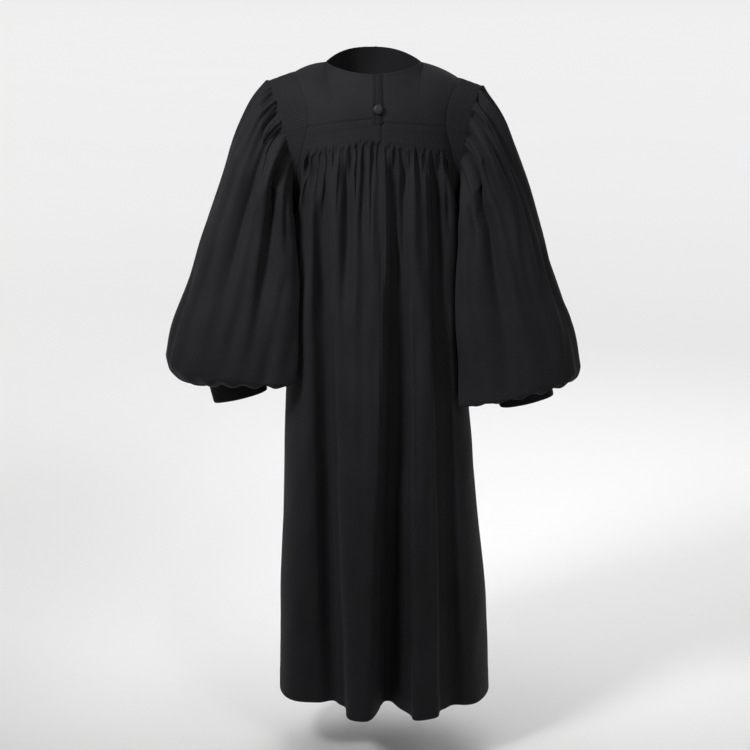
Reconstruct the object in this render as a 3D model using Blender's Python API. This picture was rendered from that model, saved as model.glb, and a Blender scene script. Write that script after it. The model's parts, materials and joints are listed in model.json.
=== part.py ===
"""Clergy robe, full length, worn open form: a plain yoke, shirred bands, gathered back and
front, and bell sleeves that are gathered into cuffs.

Metres, +Z up. The back of the robe faces -Y and its front faces +Y, so +X is the wearer's right.
The origin lies between the shoulders, level with the sides of the neck opening, where the wearer
holds the robe up.
"""

import math
from collections import namedtuple

import bpy
import numpy as np

LEFT, RIGHT = -1, 1
BACK, FRONT = -1, 1

# Cloth
BODY_WALL = 0.0015
YOKE_WALL = 0.0020
CUFF_WALL = 0.0022
STRAP_WALL = 0.0016
SEAM_GAP = 0.0004
LAID_GAP = 0.0004
PLACKET_GAP = 0.0007

# Neck opening, an ellipse that tips up towards the front
NECK_HALF_WIDTH = 0.096
NECK_CENTRE_X = -0.006
NECK_HALF_DEPTH = 0.083
NECK_BACK_DROP = 0.019
NECK_FRONT_RISE = 0.025
FRONT_POINT = 0.07

# Yoke
YOKE_CORNER_X = 0.137
SHOULDER_X = 0.164
SHOULDER_DROP = {LEFT: 0.019, RIGHT: 0.031}
NECK_SHARE = 0.6
CENTRE_BACK_X = 0.009
SEAM_LEVEL = -0.115

# Shirred bands
BAND_HEIGHT = 0.045
BAND_DIP = 0.006
SLEEVE_BAND = {LEFT: 0.056, RIGHT: 0.051}
LEAST_BAND = 0.10
FLUTE_HEIGHT = 0.0006
FLUTE_END = 0.004
BAND_FLUTES = 22
SLEEVE_FLUTES = 64

# Body
HEM_LEVEL = -1.335
BODY_FALL = SEAM_LEVEL - HEM_LEVEL
ARMHOLE_FALL = 0.165
ARMHOLE_CORNER_SHARE = 0.783
LEVEL_OUT = 0.30

BodySection = namedtuple("BodySection", "z half_width half_depth squareness centre_x")
BODY_SECTIONS = [
    BodySection(-0.08, 0.177, 0.110, 2.7, 0.000),
    BodySection(-0.20, 0.172, 0.126, 2.6, 0.000),
    BodySection(-0.30, 0.172, 0.136, 2.5, 0.000),
    BodySection(-0.52, 0.181, 0.150, 2.4, 0.001),
    BodySection(-0.744, 0.194, 0.166, 2.3, 0.002),
    BodySection(-0.92, 0.204, 0.180, 2.2, 0.008),
    BodySection(-1.10, 0.218, 0.196, 2.1, 0.014),
    BodySection(-1.335, 0.226, 0.212, 2.0, 0.017),
]

# Long folds of the body. Each has a value at each of these levels.
FOLD_LEVELS = (-0.165, -0.24, -0.55, -0.92, -1.335)
Fold = namedtuple("Fold", "centre_x half_width depth softness")
BACK_FOLDS = [
    Fold((-0.112, -0.114, -0.114, -0.116, -0.126), (0.008, 0.012, 0.023, 0.032, 0.048),
         (0.0, 0.014, 0.027, 0.050, 0.080), 0.36),
    Fold((-0.056, -0.055, -0.062, -0.060, -0.060), (0.008, 0.010, 0.012, 0.016, 0.016),
         (0.0, 0.008, 0.006, 0.000, 0.000), 0.50),
    Fold((0.042, 0.042, 0.040, 0.036, 0.030), (0.014, 0.016, 0.020, 0.025, 0.032),
         (0.0, 0.007, 0.037, 0.076, 0.118), 0.36),
    Fold((0.112, 0.118, 0.136, 0.148, 0.170), (0.008, 0.012, 0.014, 0.018, 0.030),
         (0.0, 0.015, 0.022, 0.026, 0.040), 0.36),
]
FRONT_FOLDS = [
    Fold((-0.118, -0.120, -0.128, -0.134, -0.140), (0.008, 0.011, 0.014, 0.018, 0.024),
         (0.0, 0.012, 0.020, 0.032, 0.040), 0.35),
    Fold((-0.062, -0.064, -0.068, -0.072, -0.078), (0.012, 0.014, 0.016, 0.020, 0.026),
         (0.0, 0.014, 0.028, 0.050, 0.076), 0.30),
    Fold((0.054, 0.056, 0.062, 0.066, 0.070), (0.012, 0.014, 0.015, 0.019, 0.025),
         (0.0, 0.013, 0.025, 0.044, 0.064), 0.30),
    Fold((0.112, 0.114, 0.124, 0.136, 0.146), (0.008, 0.011, 0.014, 0.018, 0.024),
         (0.0, 0.014, 0.022, 0.034, 0.044), 0.35),
]

# Gathers that hang from the shirred band: a fine set, then a wider one that it merges into
BODY_GATHERS = 22
GATHER_DEPTH = 0.0034
WIDE_GATHER_DEPTH = 0.0065
PLAIN_EDGE = 0.05
PLACKET_HALF = 0.017

# Sleeve sections, each a ring from its outer point to its inner one. The share runs from the
# armhole, 0, to the lip over the cuff, 1. Widths are measured outwards from the robe's centre.
SleeveSection = namedtuple(
    "SleeveSection", "share outer_x outer_z inner_x inner_z half_depth centre_y"
)
SLEEVE_SECTIONS = {
    LEFT: [
        SleeveSection(0.00, 0.164, -0.022, 0.172, -0.280, 0.090, 0.000),
        SleeveSection(0.10, 0.213, -0.038, 0.172, -0.284, 0.090, 0.000),
        SleeveSection(0.17, 0.240, -0.064, 0.158, -0.300, 0.100, -0.008),
        SleeveSection(0.26, 0.267, -0.110, 0.150, -0.318, 0.106, -0.014),
        SleeveSection(0.36, 0.292, -0.164, 0.146, -0.340, 0.109, -0.018),
        SleeveSection(0.47, 0.313, -0.230, 0.143, -0.358, 0.108, -0.020),
        SleeveSection(0.60, 0.348, -0.325, 0.134, -0.412, 0.111, -0.025),
        SleeveSection(0.74, 0.384, -0.435, 0.130, -0.482, 0.113, -0.028),
        SleeveSection(0.87, 0.420, -0.528, 0.130, -0.566, 0.115, -0.030),
        SleeveSection(1.00, 0.434, -0.596, 0.133, -0.642, 0.117, -0.031),
    ],
    RIGHT: [
        SleeveSection(0.00, 0.164, -0.032, 0.172, -0.280, 0.090, 0.000),
        SleeveSection(0.10, 0.206, -0.050, 0.172, -0.284, 0.090, 0.000),
        SleeveSection(0.17, 0.227, -0.074, 0.162, -0.300, 0.100, -0.008),
        SleeveSection(0.26, 0.254, -0.114, 0.155, -0.320, 0.106, -0.014),
        SleeveSection(0.36, 0.278, -0.166, 0.152, -0.345, 0.109, -0.018),
        SleeveSection(0.47, 0.307, -0.236, 0.150, -0.366, 0.108, -0.020),
        SleeveSection(0.60, 0.335, -0.330, 0.142, -0.424, 0.111, -0.025),
        SleeveSection(0.74, 0.364, -0.432, 0.138, -0.502, 0.113, -0.028),
        SleeveSection(0.87, 0.404, -0.532, 0.139, -0.600, 0.115, -0.030),
        SleeveSection(1.00, 0.421, -0.618, 0.140, -0.690, 0.117, -0.031),
    ],
}
SLEEVE_SQUARENESS = 2.4
ARMHOLE_BLEND = 0.22
OUTER_BLEND = 0.16
BODY_CLEARANCE = 0.012
FRONT_EASE = 0.055
LIP_SAG = 0.014
SLEEVE_GATHERS = 16
CUFF_GATHERS = 16
SLEEVE_GATHER_DEPTH = 0.0055
CUFF_GATHER_DEPTH = 0.0030

# Long folds of the sleeves. The place runs round from the outer line, 0, over the back, 0.25,
# the inner line, 0.5, and the front, 0.75. Depths are at the four shares.
SLEEVE_FOLD_SHARES = (0.10, 0.25, 0.60, 1.00)
SleeveFold = namedtuple("SleeveFold", "place half_width depth")
SLEEVE_FOLDS = {
    LEFT: [
        SleeveFold((0.08, 0.08, 0.09, 0.06), 0.018, (0.0, 0.006, 0.010, 0.006)),
        SleeveFold((0.17, 0.18, 0.19, 0.20), 0.026, (0.0, 0.013, 0.011, 0.003)),
        SleeveFold((0.29, 0.29, 0.31, 0.33), 0.024, (0.0, 0.012, 0.012, 0.005)),
        SleeveFold((0.64, 0.65, 0.66, 0.66), 0.028, (0.0, 0.009, 0.011, 0.005)),
        SleeveFold((0.75, 0.75, 0.76, 0.77), 0.028, (0.0, 0.010, 0.010, 0.004)),
        SleeveFold((0.86, 0.87, 0.87, 0.89), 0.026, (0.0, 0.009, 0.008, 0.004)),
    ],
    RIGHT: [
        SleeveFold((0.09, 0.10, 0.08, 0.06), 0.020, (0.0, 0.008, 0.007, 0.004)),
        SleeveFold((0.20, 0.22, 0.20, 0.18), 0.020, (0.0, 0.008, 0.006, 0.002)),
        SleeveFold((0.28, 0.29, 0.28, 0.28), 0.028, (0.0, 0.014, 0.011, 0.004)),
        SleeveFold((0.64, 0.64, 0.65, 0.66), 0.028, (0.0, 0.009, 0.010, 0.004)),
        SleeveFold((0.76, 0.76, 0.77, 0.76), 0.028, (0.0, 0.010, 0.010, 0.005)),
        SleeveFold((0.87, 0.86, 0.87, 0.88), 0.026, (0.0, 0.008, 0.008, 0.003)),
    ],
}

# Cuffs
Cuff = namedtuple("Cuff", "centre_x top_z")
CUFFS = {LEFT: Cuff(0.293, -0.642), RIGHT: Cuff(0.302, -0.652)}
CUFF_CENTRE_Y = -0.024
CUFF_HALF_WIDTH = 0.056
CUFF_HALF_DEPTH = 0.036
CUFF_HEIGHT = 0.044
CUFF_TILT = 0.24

# Hood strap and its button, on the back yoke
STRAP_CENTRE_X = 0.0015
STRAP_HALF_WIDTH = 0.0100
STRAP_BOTTOM_Z = -0.1135
BUTTON_X = 0.0035
BUTTON_Z = -0.086
BUTTON_RADIUS = 0.0100
BUTTON_FLAT_RADIUS = 0.0040
BUTTON_HEIGHT = 0.0065
BUTTON_STEPS = 28

# How finely each wall is cut
DENSE = 720
YOKE_COLUMNS = 9
YOKE_ROWS = 6
CUFF_COLUMNS = 36
STRAP_ROWS = 9


def smoothstep(low, high, value):
    """0 below low, 1 above high, and an S curve between."""
    share = np.clip((value - low) / (high - low), 0.0, 1.0)
    return share * share * (3.0 - 2.0 * share)


def through(knots, values, at):
    """A smooth curve through the values at the knots: cubic, with the slopes of the neighbours."""
    knots, values = np.asarray(knots, float), np.asarray(values, float)
    if knots[0] > knots[-1]:
        knots, values = knots[::-1], values[::-1]
    slopes = np.gradient(values, knots)
    at = np.clip(np.asarray(at, float), knots[0], knots[-1])
    i = np.clip(np.searchsorted(knots, at) - 1, 0, len(knots) - 2)
    span = knots[i + 1] - knots[i]
    s = (at - knots[i]) / span
    return (
        values[i] * (1 + 2 * s) * (1 - s) ** 2
        + slopes[i] * span * s * (1 - s) ** 2
        + values[i + 1] * s * s * (3 - 2 * s)
        + slopes[i + 1] * span * s * s * (s - 1)
    )


def column(rows, key, name, at):
    """One named column of a table, read smoothly at a value of its key column."""
    return through([getattr(r, key) for r in rows], [getattr(r, name) for r in rows], at)


def signed_power(value, power):
    return np.sign(value) * np.abs(value) ** power


def run_of(points):
    """How far along a line each of its points is, as a share of its length."""
    steps = np.linalg.norm(np.diff(points, axis=0), axis=1)
    run = np.concatenate([[0.0], np.cumsum(steps)])
    return run / run[-1]


def unit(vectors):
    return vectors / np.linalg.norm(vectors, axis=-1, keepdims=True)


# Body

def body_section(theta, z, side):
    """Points and outward normals of the body's rounded section. theta is 0 at the centre line
    and a quarter turn at each side seam."""
    half_width = column(BODY_SECTIONS, "z", "half_width", z)
    half_depth = column(BODY_SECTIONS, "z", "half_depth", z)
    n = column(BODY_SECTIONS, "z", "squareness", z)
    centre_x = column(BODY_SECTIONS, "z", "centre_x", z)
    x = signed_power(np.sin(theta), 2.0 / n)
    y = side * np.abs(np.cos(theta)) ** (2.0 / n)
    normals = unit(
        np.stack(
            [signed_power(x, n - 1) / half_width, signed_power(y, n - 1) / half_depth, 0 * x],
            axis=1,
        )
    )
    points = np.stack([centre_x + half_width * x, half_depth * y, 0 * x + z], axis=1)
    return points, normals


def seam_line(x, side, hand):
    """Height of the yoke's lower seam at a distance from the centre line."""
    out = np.abs(x) / YOKE_CORNER_X
    if side == FRONT:
        return SEAM_LEVEL - 0.002 - 0.007 * out**2
    if hand == LEFT:
        return -0.104 - 0.018 * out**1.3
    return -0.112 - 0.011 * out**1.5


def row_height(x, side, hand, fall):
    """Height of the cloth that lies a nominal fall below the yoke's seam. The seam's slope and
    the band's dip towards the sides die out further down."""
    keep = 1.0 - smoothstep(BAND_HEIGHT, LEVEL_OUT, fall)
    slope = seam_line(x, side, hand) - SEAM_LEVEL
    dip = BAND_DIP * (1.0 - 2.0 * np.abs(x) / YOKE_CORNER_X) * min(fall / BAND_HEIGHT, 1.0)
    return SEAM_LEVEL - fall + keep * (slope + dip)


def armhole_angle(fall):
    """The section's angle at the panel's side edge: on the armhole, then at the side seam."""
    share = min(max(fall, 0.0) / ARMHOLE_FALL, 1.0)
    out = ARMHOLE_CORNER_SHARE + (1.0 - ARMHOLE_CORNER_SHARE) * (1.0 - (1.0 - share) ** 1.5)
    n = float(column(BODY_SECTIONS, "z", "squareness", SEAM_LEVEL - fall))
    return math.asin(min(1.0, out ** (n / 2.0)))


def fold_depth(x, z, side):
    """How far the long folds press the cloth in."""
    total = np.zeros_like(x)
    for fold in BACK_FOLDS if side == BACK else FRONT_FOLDS:
        centre, half, depth = (
            through(FOLD_LEVELS, values, z) for values in (fold.centre_x, fold.half_width, fold.depth)
        )
        out = (x - centre) / half
        soft = fold.softness
        total += depth * 0.5 * (np.tanh((out + 1) / soft) - np.tanh((out - 1) / soft))
    return total


def gather_rise(share, fall, side):
    """How far the gathers stand out: fine ones under the band, merging into wider ones."""
    below = fall - BAND_HEIGHT
    edge = smoothstep(0.0, PLAIN_EDGE, share) * smoothstep(0.0, PLAIN_EDGE, 1.0 - share)
    if side == FRONT:
        edge = edge * smoothstep(0.055, 0.085, np.abs(share - 0.5))
    turns = 2.0 * math.pi * BODY_GATHERS * share
    uneven = 0.75 + 0.25 * np.sin(2.0 * math.pi * (3.3 * share + 0.15))
    fine = GATHER_DEPTH * smoothstep(0.0, 0.012, below) * (1 - smoothstep(0.04, 0.12, below))
    wide = WIDE_GATHER_DEPTH * smoothstep(0.01, 0.06, below) * (1 - smoothstep(0.12, 0.40, below))
    drift = 0.9 * np.sin(2.0 * math.pi * 1.7 * share)
    return edge * uneven * (fine * np.cos(turns) + wide * np.cos(turns / 2.0 + drift))


def half_run(edge, z):
    """The length of the section from the centre line to an angle, without its folds."""
    points = body_section(np.linspace(0.0, edge, 60), z, BACK)[0]
    return float(np.sum(np.linalg.norm(np.diff(points, axis=0), axis=1)))


BAND_HALF_RUN = half_run(armhole_angle(BAND_HEIGHT), SEAM_LEVEL - BAND_HEIGHT)


def panel_row(side, hand, share, fall):
    """One row of the back or front cloth. The share runs from the left side, 0, to the right, 1.
    The columns hang straight down from the band, and lower down they spread evenly by the
    cloth's own length. The hand says whose slope of the yoke's seam the row follows."""
    z = SEAM_LEVEL - fall
    edge = armhole_angle(fall)

    def pressed(theta):
        points, normals = body_section(theta, z, side)
        inward = fold_depth(points[:, 0], z, side) * np.abs(normals[:, 1])
        return points - normals * inward[:, None], normals

    dense = np.linspace(-edge, edge, DENSE)
    out = 2.0 * share - 1.0
    kept = (1.0 - smoothstep(0.20, 0.50, fall)) * (1.0 - BAND_HALF_RUN / half_run(edge, z))
    even = 0.5 + 0.5 * ((1.0 - kept) * out + kept * out**3)
    theta = np.interp(even, run_of(pressed(dense)[0]), dense)
    points, normals = pressed(theta)
    points += normals * gather_rise(share, fall, side)[:, None]
    points[:, 2] = row_height(points[:, 0], side, hand, fall)
    return points


def centre_x(side):
    """Where the back's centre seam lies, or the front's closing."""
    return CENTRE_BACK_X if side == BACK else 0.0


def centre_share(side, fall):
    """The share at which the centre seam lies, in one row."""
    shares = np.linspace(0.3, 0.7, 401)
    x = panel_row(side, LEFT, shares, fall)[:, 0]
    return float(shares[np.argmin(np.abs(x - centre_x(side)))])


# Yoke

def neck_point(turn, side):
    """The neck opening's edge. turn is 0 at the centre line and 1 at the side of the neck."""
    angle = np.clip(np.abs(turn), 0, 1) * math.pi / 2.0
    across, along = np.sin(angle), np.cos(angle)
    x = NECK_CENTRE_X + np.sign(turn) * NECK_HALF_WIDTH * across
    if side == BACK:
        z = -NECK_BACK_DROP * (1.0 - across**2)
    else:
        z = NECK_FRONT_RISE * (1.0 - across ** np.where(turn < 0.0, 3.0, 2.3))
        along = along + FRONT_POINT * (1.0 - np.clip(np.abs(turn), 0, 1)) ** 2
    return np.stack([x, side * NECK_HALF_DEPTH * along, z], axis=-1)


def yoke_top(across, side, hand):
    """The yoke's upper edge: the neck, then the shoulder seam. across is -1 to 1."""
    neck = neck_point(across / NECK_SHARE, side)
    out = np.clip((np.abs(across) - NECK_SHARE) / (1.0 - NECK_SHARE), 0.0, 1.0)
    start = neck_point(np.array([float(hand)]), side)[0]
    end = np.array([hand * SHOULDER_X, 0.0, -SHOULDER_DROP[hand]])
    shoulder = start + out[:, None] * (end - start)
    shoulder[:, 2] += 0.004 * np.sin(math.pi * out)
    return np.where((np.abs(across) <= NECK_SHARE)[:, None], neck, shoulder)


def yoke_row(side, hand, across, up):
    """A row of the yoke, at up 0 on its lower seam and 1 on the neck and shoulder seam. Each
    column is a cubic curve that rises from the back or chest and rolls over the shoulder."""
    x = across * YOKE_CORNER_X
    half_width = float(column(BODY_SECTIONS, "z", "half_width", SEAM_LEVEL))
    n = float(column(BODY_SECTIONS, "z", "squareness", SEAM_LEVEL))
    theta = np.arcsin(signed_power(x / half_width, n / 2.0))
    low = body_section(theta, SEAM_LEVEL, side)[0]
    low[:, 2] = seam_line(low[:, 0], side, hand) + SEAM_GAP
    top = yoke_top(across, side, hand)
    length = np.linalg.norm(top - low, axis=1)[:, None]
    roll = smoothstep(0.05, 1.0, np.abs(across))[:, None]
    rise = np.array([0.0, -0.05 * side, 1.0])
    at_neck = np.array([0.0, -0.42 * side, 0.90])
    at_shoulder = np.array([0.0, -1.0 * side, 0.05])
    arrive = unit((1.0 - roll) * at_neck + roll * at_shoulder)
    a, d = low, top
    b = low + 0.42 * length * unit(rise)
    c = top - 0.42 * length * arrive
    return (
        (1 - up) ** 3 * a + 3 * (1 - up) ** 2 * up * b + 3 * (1 - up) * up**2 * c + up**3 * d
    )


# Sleeves

def armhole_line(hand):
    """The armhole's edge, closed, from the shoulder down the back, round the underarm and up
    the front. Returns its points and how far down each one is, 0 at the top and 1 at the bottom."""
    ups = np.linspace(1.0, 0.0, 60)
    falls = np.linspace(0.0, ARMHOLE_FALL, 120)
    edge_share = np.array([0.0 if hand == LEFT else 1.0])
    halves = {}
    for side in (BACK, FRONT):
        yoke = [yoke_row(side, hand, np.array([float(hand)]), up)[0] for up in ups]
        panel = [panel_row(side, hand, edge_share, fall)[0] for fall in falls]
        halves[side] = np.array(yoke[:-1] + panel)
    line = np.concatenate([halves[BACK], halves[FRONT][::-1][1:]])
    return line, run_of(line)


ARMHOLES = {hand: armhole_line(hand) for hand in (LEFT, RIGHT)}


def armhole_points(hand, place):
    line, run = ARMHOLES[hand]
    return np.stack([np.interp(place, run, line[:, k]) for k in range(3)], axis=1)


def band_reach(hand, place, share):
    """How far the shirred band carries the cloth out from the armhole, as vectors."""
    over = 0.5 + 0.5 * np.cos(2.0 * math.pi * place)
    amount = SLEEVE_BAND[hand] * (LEAST_BAND + (1.0 - LEAST_BAND) * smoothstep(0.12, 0.75, over)) * share
    lean = np.sin(2.0 * math.pi * place)
    way = unit(
        np.stack([hand * np.ones_like(place), 0.30 * lean, -0.10 - 0.26 * over**2], axis=1)
    )
    return amount[:, None] * way + np.array([hand * (SEAM_GAP + 0.0004), 0.0, 0.0])


def clear_of_body(points, hand):
    """Moves points out sideways until they clear the body's section by BODY_CLEARANCE."""
    z = points[:, 2]
    half_width = column(BODY_SECTIONS, "z", "half_width", z)
    half_depth = column(BODY_SECTIONS, "z", "half_depth", z)
    n = column(BODY_SECTIONS, "z", "squareness", z)
    centre_x = column(BODY_SECTIONS, "z", "centre_x", z)
    inside = np.clip(1.0 - (np.abs(points[:, 1]) / half_depth) ** n, 0.0, 1.0)
    least = hand * centre_x + half_width * inside ** (1.0 / n) + BODY_CLEARANCE
    out = hand * points[:, 0]
    softly = 0.5 * (out + least + np.sqrt((out - least) ** 2 + 0.004**2))
    moved = points.copy()
    moved[:, 0] = hand * softly
    return moved


def section_ring(hand, share, angle):
    """A sleeve's own rounded section at a share of its length."""
    rows = SLEEVE_SECTIONS[hand]
    outer_x, outer_z, inner_x, inner_z, half_depth, centre_y = (
        column(rows, "share", name, share)
        for name in ("outer_x", "outer_z", "inner_x", "inner_z", "half_depth", "centre_y")
    )
    over = signed_power(np.cos(angle), 2.0 / SLEEVE_SQUARENESS)
    back = signed_power(np.sin(angle), 2.0 / SLEEVE_SQUARENESS)
    inner_x = inner_x + FRONT_EASE * smoothstep(-0.2, 1.0, -back)
    x = hand * ((outer_x + inner_x) / 2.0 + (outer_x - inner_x) / 2.0 * over)
    z = (outer_z + inner_z) / 2.0 + (outer_z - inner_z) / 2.0 * over
    return np.stack([x, centre_y - half_depth * back, z], axis=1)


def even_ring(points, place):
    """Points at even places round a closed dense ring, by its length."""
    run = run_of(points)
    return np.stack([np.interp(place, run, points[:, k]) for k in range(3)], axis=1)


def cuff_ring(hand, place, down):
    """A ring of the cuff, down metres below its top edge."""
    cuff = CUFFS[hand]
    angle = 2.0 * math.pi * place
    across = hand * CUFF_HALF_WIDTH * np.cos(angle)
    x = hand * cuff.centre_x + across + CUFF_TILT * down
    y = CUFF_CENTRE_Y - CUFF_HALF_DEPTH * np.sin(angle)
    return np.stack([x, y, cuff.top_z - down + CUFF_TILT * across], axis=1)


def sleeve_base(hand, share, place):
    """A ring of the sleeve without its folds. From share 0 to 1 it runs from the armhole to the
    lip, and from 1 to 2 it turns under and in to the cuff's top edge."""
    place = np.mod(place, 1.0)
    if share > 1.0:
        under = share - 1.0
        lip = sleeve_base(hand, 1.0, place)
        cuff = cuff_ring(hand, place, -SEAM_GAP)
        ring = cuff + (1.0 - under**1.8) * (lip - cuff)
        ring[:, 2] = (1 - under) * lip[:, 2] + under * cuff[:, 2]
        ring[:, 2] -= LIP_SAG * math.sin(math.pi * under) ** 0.8
        return ring
    turn = 2.0 * math.pi * np.linspace(0.0, 1.0, DENSE + 1)
    ring = even_ring(clear_of_body(section_ring(hand, share, turn), hand), place)
    start = armhole_points(hand, place) + band_reach(hand, place, min(share / 0.10, 1.0))
    over = 0.5 + 0.5 * np.cos(2.0 * math.pi * place)
    blend = smoothstep(0.0, 1.0, (share - 0.10) / (ARMHOLE_BLEND - OUTER_BLEND * over))[:, None]
    return (1.0 - blend) * start + blend * ring


def round_distance(place, centre):
    """The shorter way round between two places."""
    return np.mod(place - centre + 0.5, 1.0) - 0.5


def sleeve_relief(hand, share, place):
    """How far gathers and folds move the sleeve's cloth in or out."""
    turns = 2.0 * math.pi * place
    free = smoothstep(-0.75, 0.35, np.cos(turns))
    head = smoothstep(0.10, 0.125, share) * (1.0 - smoothstep(0.20, 0.50, share))
    relief = SLEEVE_GATHER_DEPTH * head * free * np.cos(SLEEVE_GATHERS * turns)
    near_cuff = smoothstep(1.05, 1.45, share) * (1.0 - smoothstep(1.90, 2.0, share))
    relief = relief + CUFF_GATHER_DEPTH * near_cuff * np.cos(CUFF_GATHERS * turns)
    if share <= 1.0:
        for fold in SLEEVE_FOLDS[hand]:
            centre = through(SLEEVE_FOLD_SHARES, fold.place, share)
            depth = through(SLEEVE_FOLD_SHARES, fold.depth, share)
            out = round_distance(place, centre) / fold.half_width
            relief = relief - depth * np.exp(-(out**2))
    return relief


def sleeve_row(hand, place, share):
    """One ring of the sleeve, with its gathers and folds."""
    share = min(max(share, 0.0), 2.0)
    step = 0.004
    base = sleeve_base(hand, share, place)
    round_way = sleeve_base(hand, share, place + step) - sleeve_base(hand, share, place - step)
    low, high = max(share - step, 0.0), max(min(share + step, 2.0), 0.2)
    down_way = sleeve_base(hand, high, place) - sleeve_base(hand, low, place)
    normals = unit(np.cross(round_way, down_way)) * hand
    return base + normals * sleeve_relief(hand, share, place)[:, None]


# Solids

def clear_scene():
    for thing in list(bpy.data.objects):
        bpy.data.objects.remove(thing)


def cloth(name, colour, roughness):
    """A matt black cloth."""
    material = bpy.data.materials.new(name)
    material.use_nodes = True
    shader = material.node_tree.nodes["Principled BSDF"]
    shader.inputs["Base Color"].default_value = (*colour, 1.0)
    shader.inputs["Roughness"].default_value = roughness
    shader.inputs["Metallic"].default_value = 0.0
    material.diffuse_color = (*colour, 1.0)
    return material


def strip_faces(first, second, points, closed):
    """Triangles between two rows of point numbers, whose counts may differ. Where they don't,
    each four-sided patch is cut along its shorter diagonal."""
    a = list(first) + ([first[0]] if closed else [])
    b = list(second) + ([second[0]] if closed else [])
    faces, i, j = [], 0, 0
    while i < len(a) - 1 or j < len(b) - 1:
        next_a = (i + 1) / (len(a) - 1)
        next_b = (j + 1) / (len(b) - 1)
        if i == len(a) - 1 or j == len(b) - 1:
            step_a = i < len(a) - 1
        elif abs(next_a - next_b) < 1e-9:
            down = np.linalg.norm(points[a[i + 1]] - points[b[j]])
            step_a = down < np.linalg.norm(points[a[i]] - points[b[j + 1]])
        else:
            step_a = next_a < next_b
        if step_a:
            faces.append((a[i], a[i + 1], b[j]))
            i += 1
        else:
            faces.append((a[i], b[j + 1], b[j]))
            j += 1
    return faces


def with_inner(row_at, across, down, thickness, out, reach=0.003, raised=0.0):
    """A row of a surface and the same row on the wall's inner face. The wall's direction comes
    from the surface's slopes, the one down the piece taken over the reach. The outer face stands
    out by the raised height, over a plain inner face."""
    step = 0.003
    points = row_at(across, down)
    along = row_at(across + step, down) - row_at(across - step, down)
    fall = row_at(across, down + reach) - row_at(across, down - reach)
    normals = unit(np.cross(along, fall)) * out
    raised = np.broadcast_to(raised, len(points))[:, None]
    return points + raised * normals, points - thickness * normals


def wall(name, pairs, material, closed=False):
    """A cloth wall between its outer and inner rows, closed by a rim round its open edges."""
    outer = np.concatenate([pair[0] for pair in pairs])
    inner = np.concatenate([pair[1] for pair in pairs])
    starts = np.cumsum([0] + [len(pair[0]) for pair in pairs])
    numbers = [list(range(starts[k], starts[k + 1])) for k in range(len(pairs))]
    under = len(outer)
    faces = []
    for first, second in zip(numbers, numbers[1:]):
        faces += strip_faces(first, second, outer, closed)
    faces += [tuple(under + i for i in reversed(face)) for face in faces]
    edges = [numbers[0][::-1], numbers[-1]]
    if closed:
        edges = [edge + edge[:1] for edge in edges]
    else:
        edges += [[row[0] for row in numbers], [row[-1] for row in numbers][::-1]]
    for edge in edges:
        faces += [(a, b, under + b, under + a) for a, b in zip(edge, edge[1:])]
    mesh = bpy.data.meshes.new(name)
    mesh.from_pydata(np.concatenate([outer, inner]).tolist(), [], faces)
    mesh.update()
    if signed_volume(mesh) < 0.0:
        mesh.flip_normals()
    mesh.shade_smooth()
    mesh.set_sharp_from_angle(angle=math.radians(50.0))
    mesh.materials.append(material)
    piece = bpy.data.objects.new(name, mesh)
    bpy.context.scene.collection.objects.link(piece)
    return piece


def signed_volume(mesh):
    """The volume inside a closed mesh, negative when its faces look inwards."""
    return sum(face.area * face.normal.dot(face.center) for face in mesh.polygons) / 3.0


# The rows of each half panel: how far each falls below the yoke seam, and its columns
FINE_COLUMNS = 2 * BODY_GATHERS
COARSE_COLUMNS = 22
SEAM_COLUMNS = 12
PanelRow = namedtuple("PanelRow", "fall columns")
PANEL_ROWS = [
    PanelRow(0.0, SEAM_COLUMNS),
    PanelRow(FLUTE_END, 2 * BAND_FLUTES),
    PanelRow(BAND_HEIGHT - FLUTE_END, 2 * BAND_FLUTES),
    PanelRow(BAND_HEIGHT, FINE_COLUMNS),
    PanelRow(BAND_HEIGHT + 0.014, FINE_COLUMNS),
    PanelRow(BAND_HEIGHT + 0.050, FINE_COLUMNS),
    PanelRow(0.140, COARSE_COLUMNS),
    PanelRow(ARMHOLE_FALL, COARSE_COLUMNS),
    PanelRow(0.22, COARSE_COLUMNS),
    PanelRow(0.29, COARSE_COLUMNS),
    PanelRow(0.40, COARSE_COLUMNS),
    PanelRow(0.58, COARSE_COLUMNS),
    PanelRow(0.78, COARSE_COLUMNS),
    PanelRow(1.00, COARSE_COLUMNS),
    PanelRow(BODY_FALL, COARSE_COLUMNS),
]


def panel_flutes(side, x, fall):
    """The shirring of the band: every other column stands out, but not where the strap or the
    strip over the closing lies flat on it."""
    if not 0.0 < fall < BAND_HEIGHT:
        return np.zeros_like(x)
    middle, half = (STRAP_CENTRE_X, STRAP_HALF_WIDTH) if side == BACK else (0.0, PLACKET_HALF)
    free = np.abs(x - middle) > half + 0.003
    return FLUTE_HEIGHT * free * (np.arange(len(x)) % 2)


def make_panel(name, side, hand, material):
    """Half of the back or the front, from the yoke seam to the hem."""
    def row_at(share, fall):
        return panel_row(side, hand, share, fall)

    pairs = []
    for row in PANEL_ROWS:
        centre = centre_share(side, row.fall)
        outer = 0.0 if hand == LEFT else 1.0
        share = np.linspace(centre, outer, row.columns + 1)
        raised = panel_flutes(side, row_at(share, row.fall)[:, 0], row.fall)
        pair = with_inner(row_at, share, row.fall, BODY_WALL, side, raised=raised)
        for points in pair:
            points[0, 0] = centre_x(side) + hand * SEAM_GAP / 2.0
            if row.fall >= ARMHOLE_FALL:
                points[-1, 1] += side * SEAM_GAP / 2.0
        pairs.append(pair)
    return wall(name, pairs, material)


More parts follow.
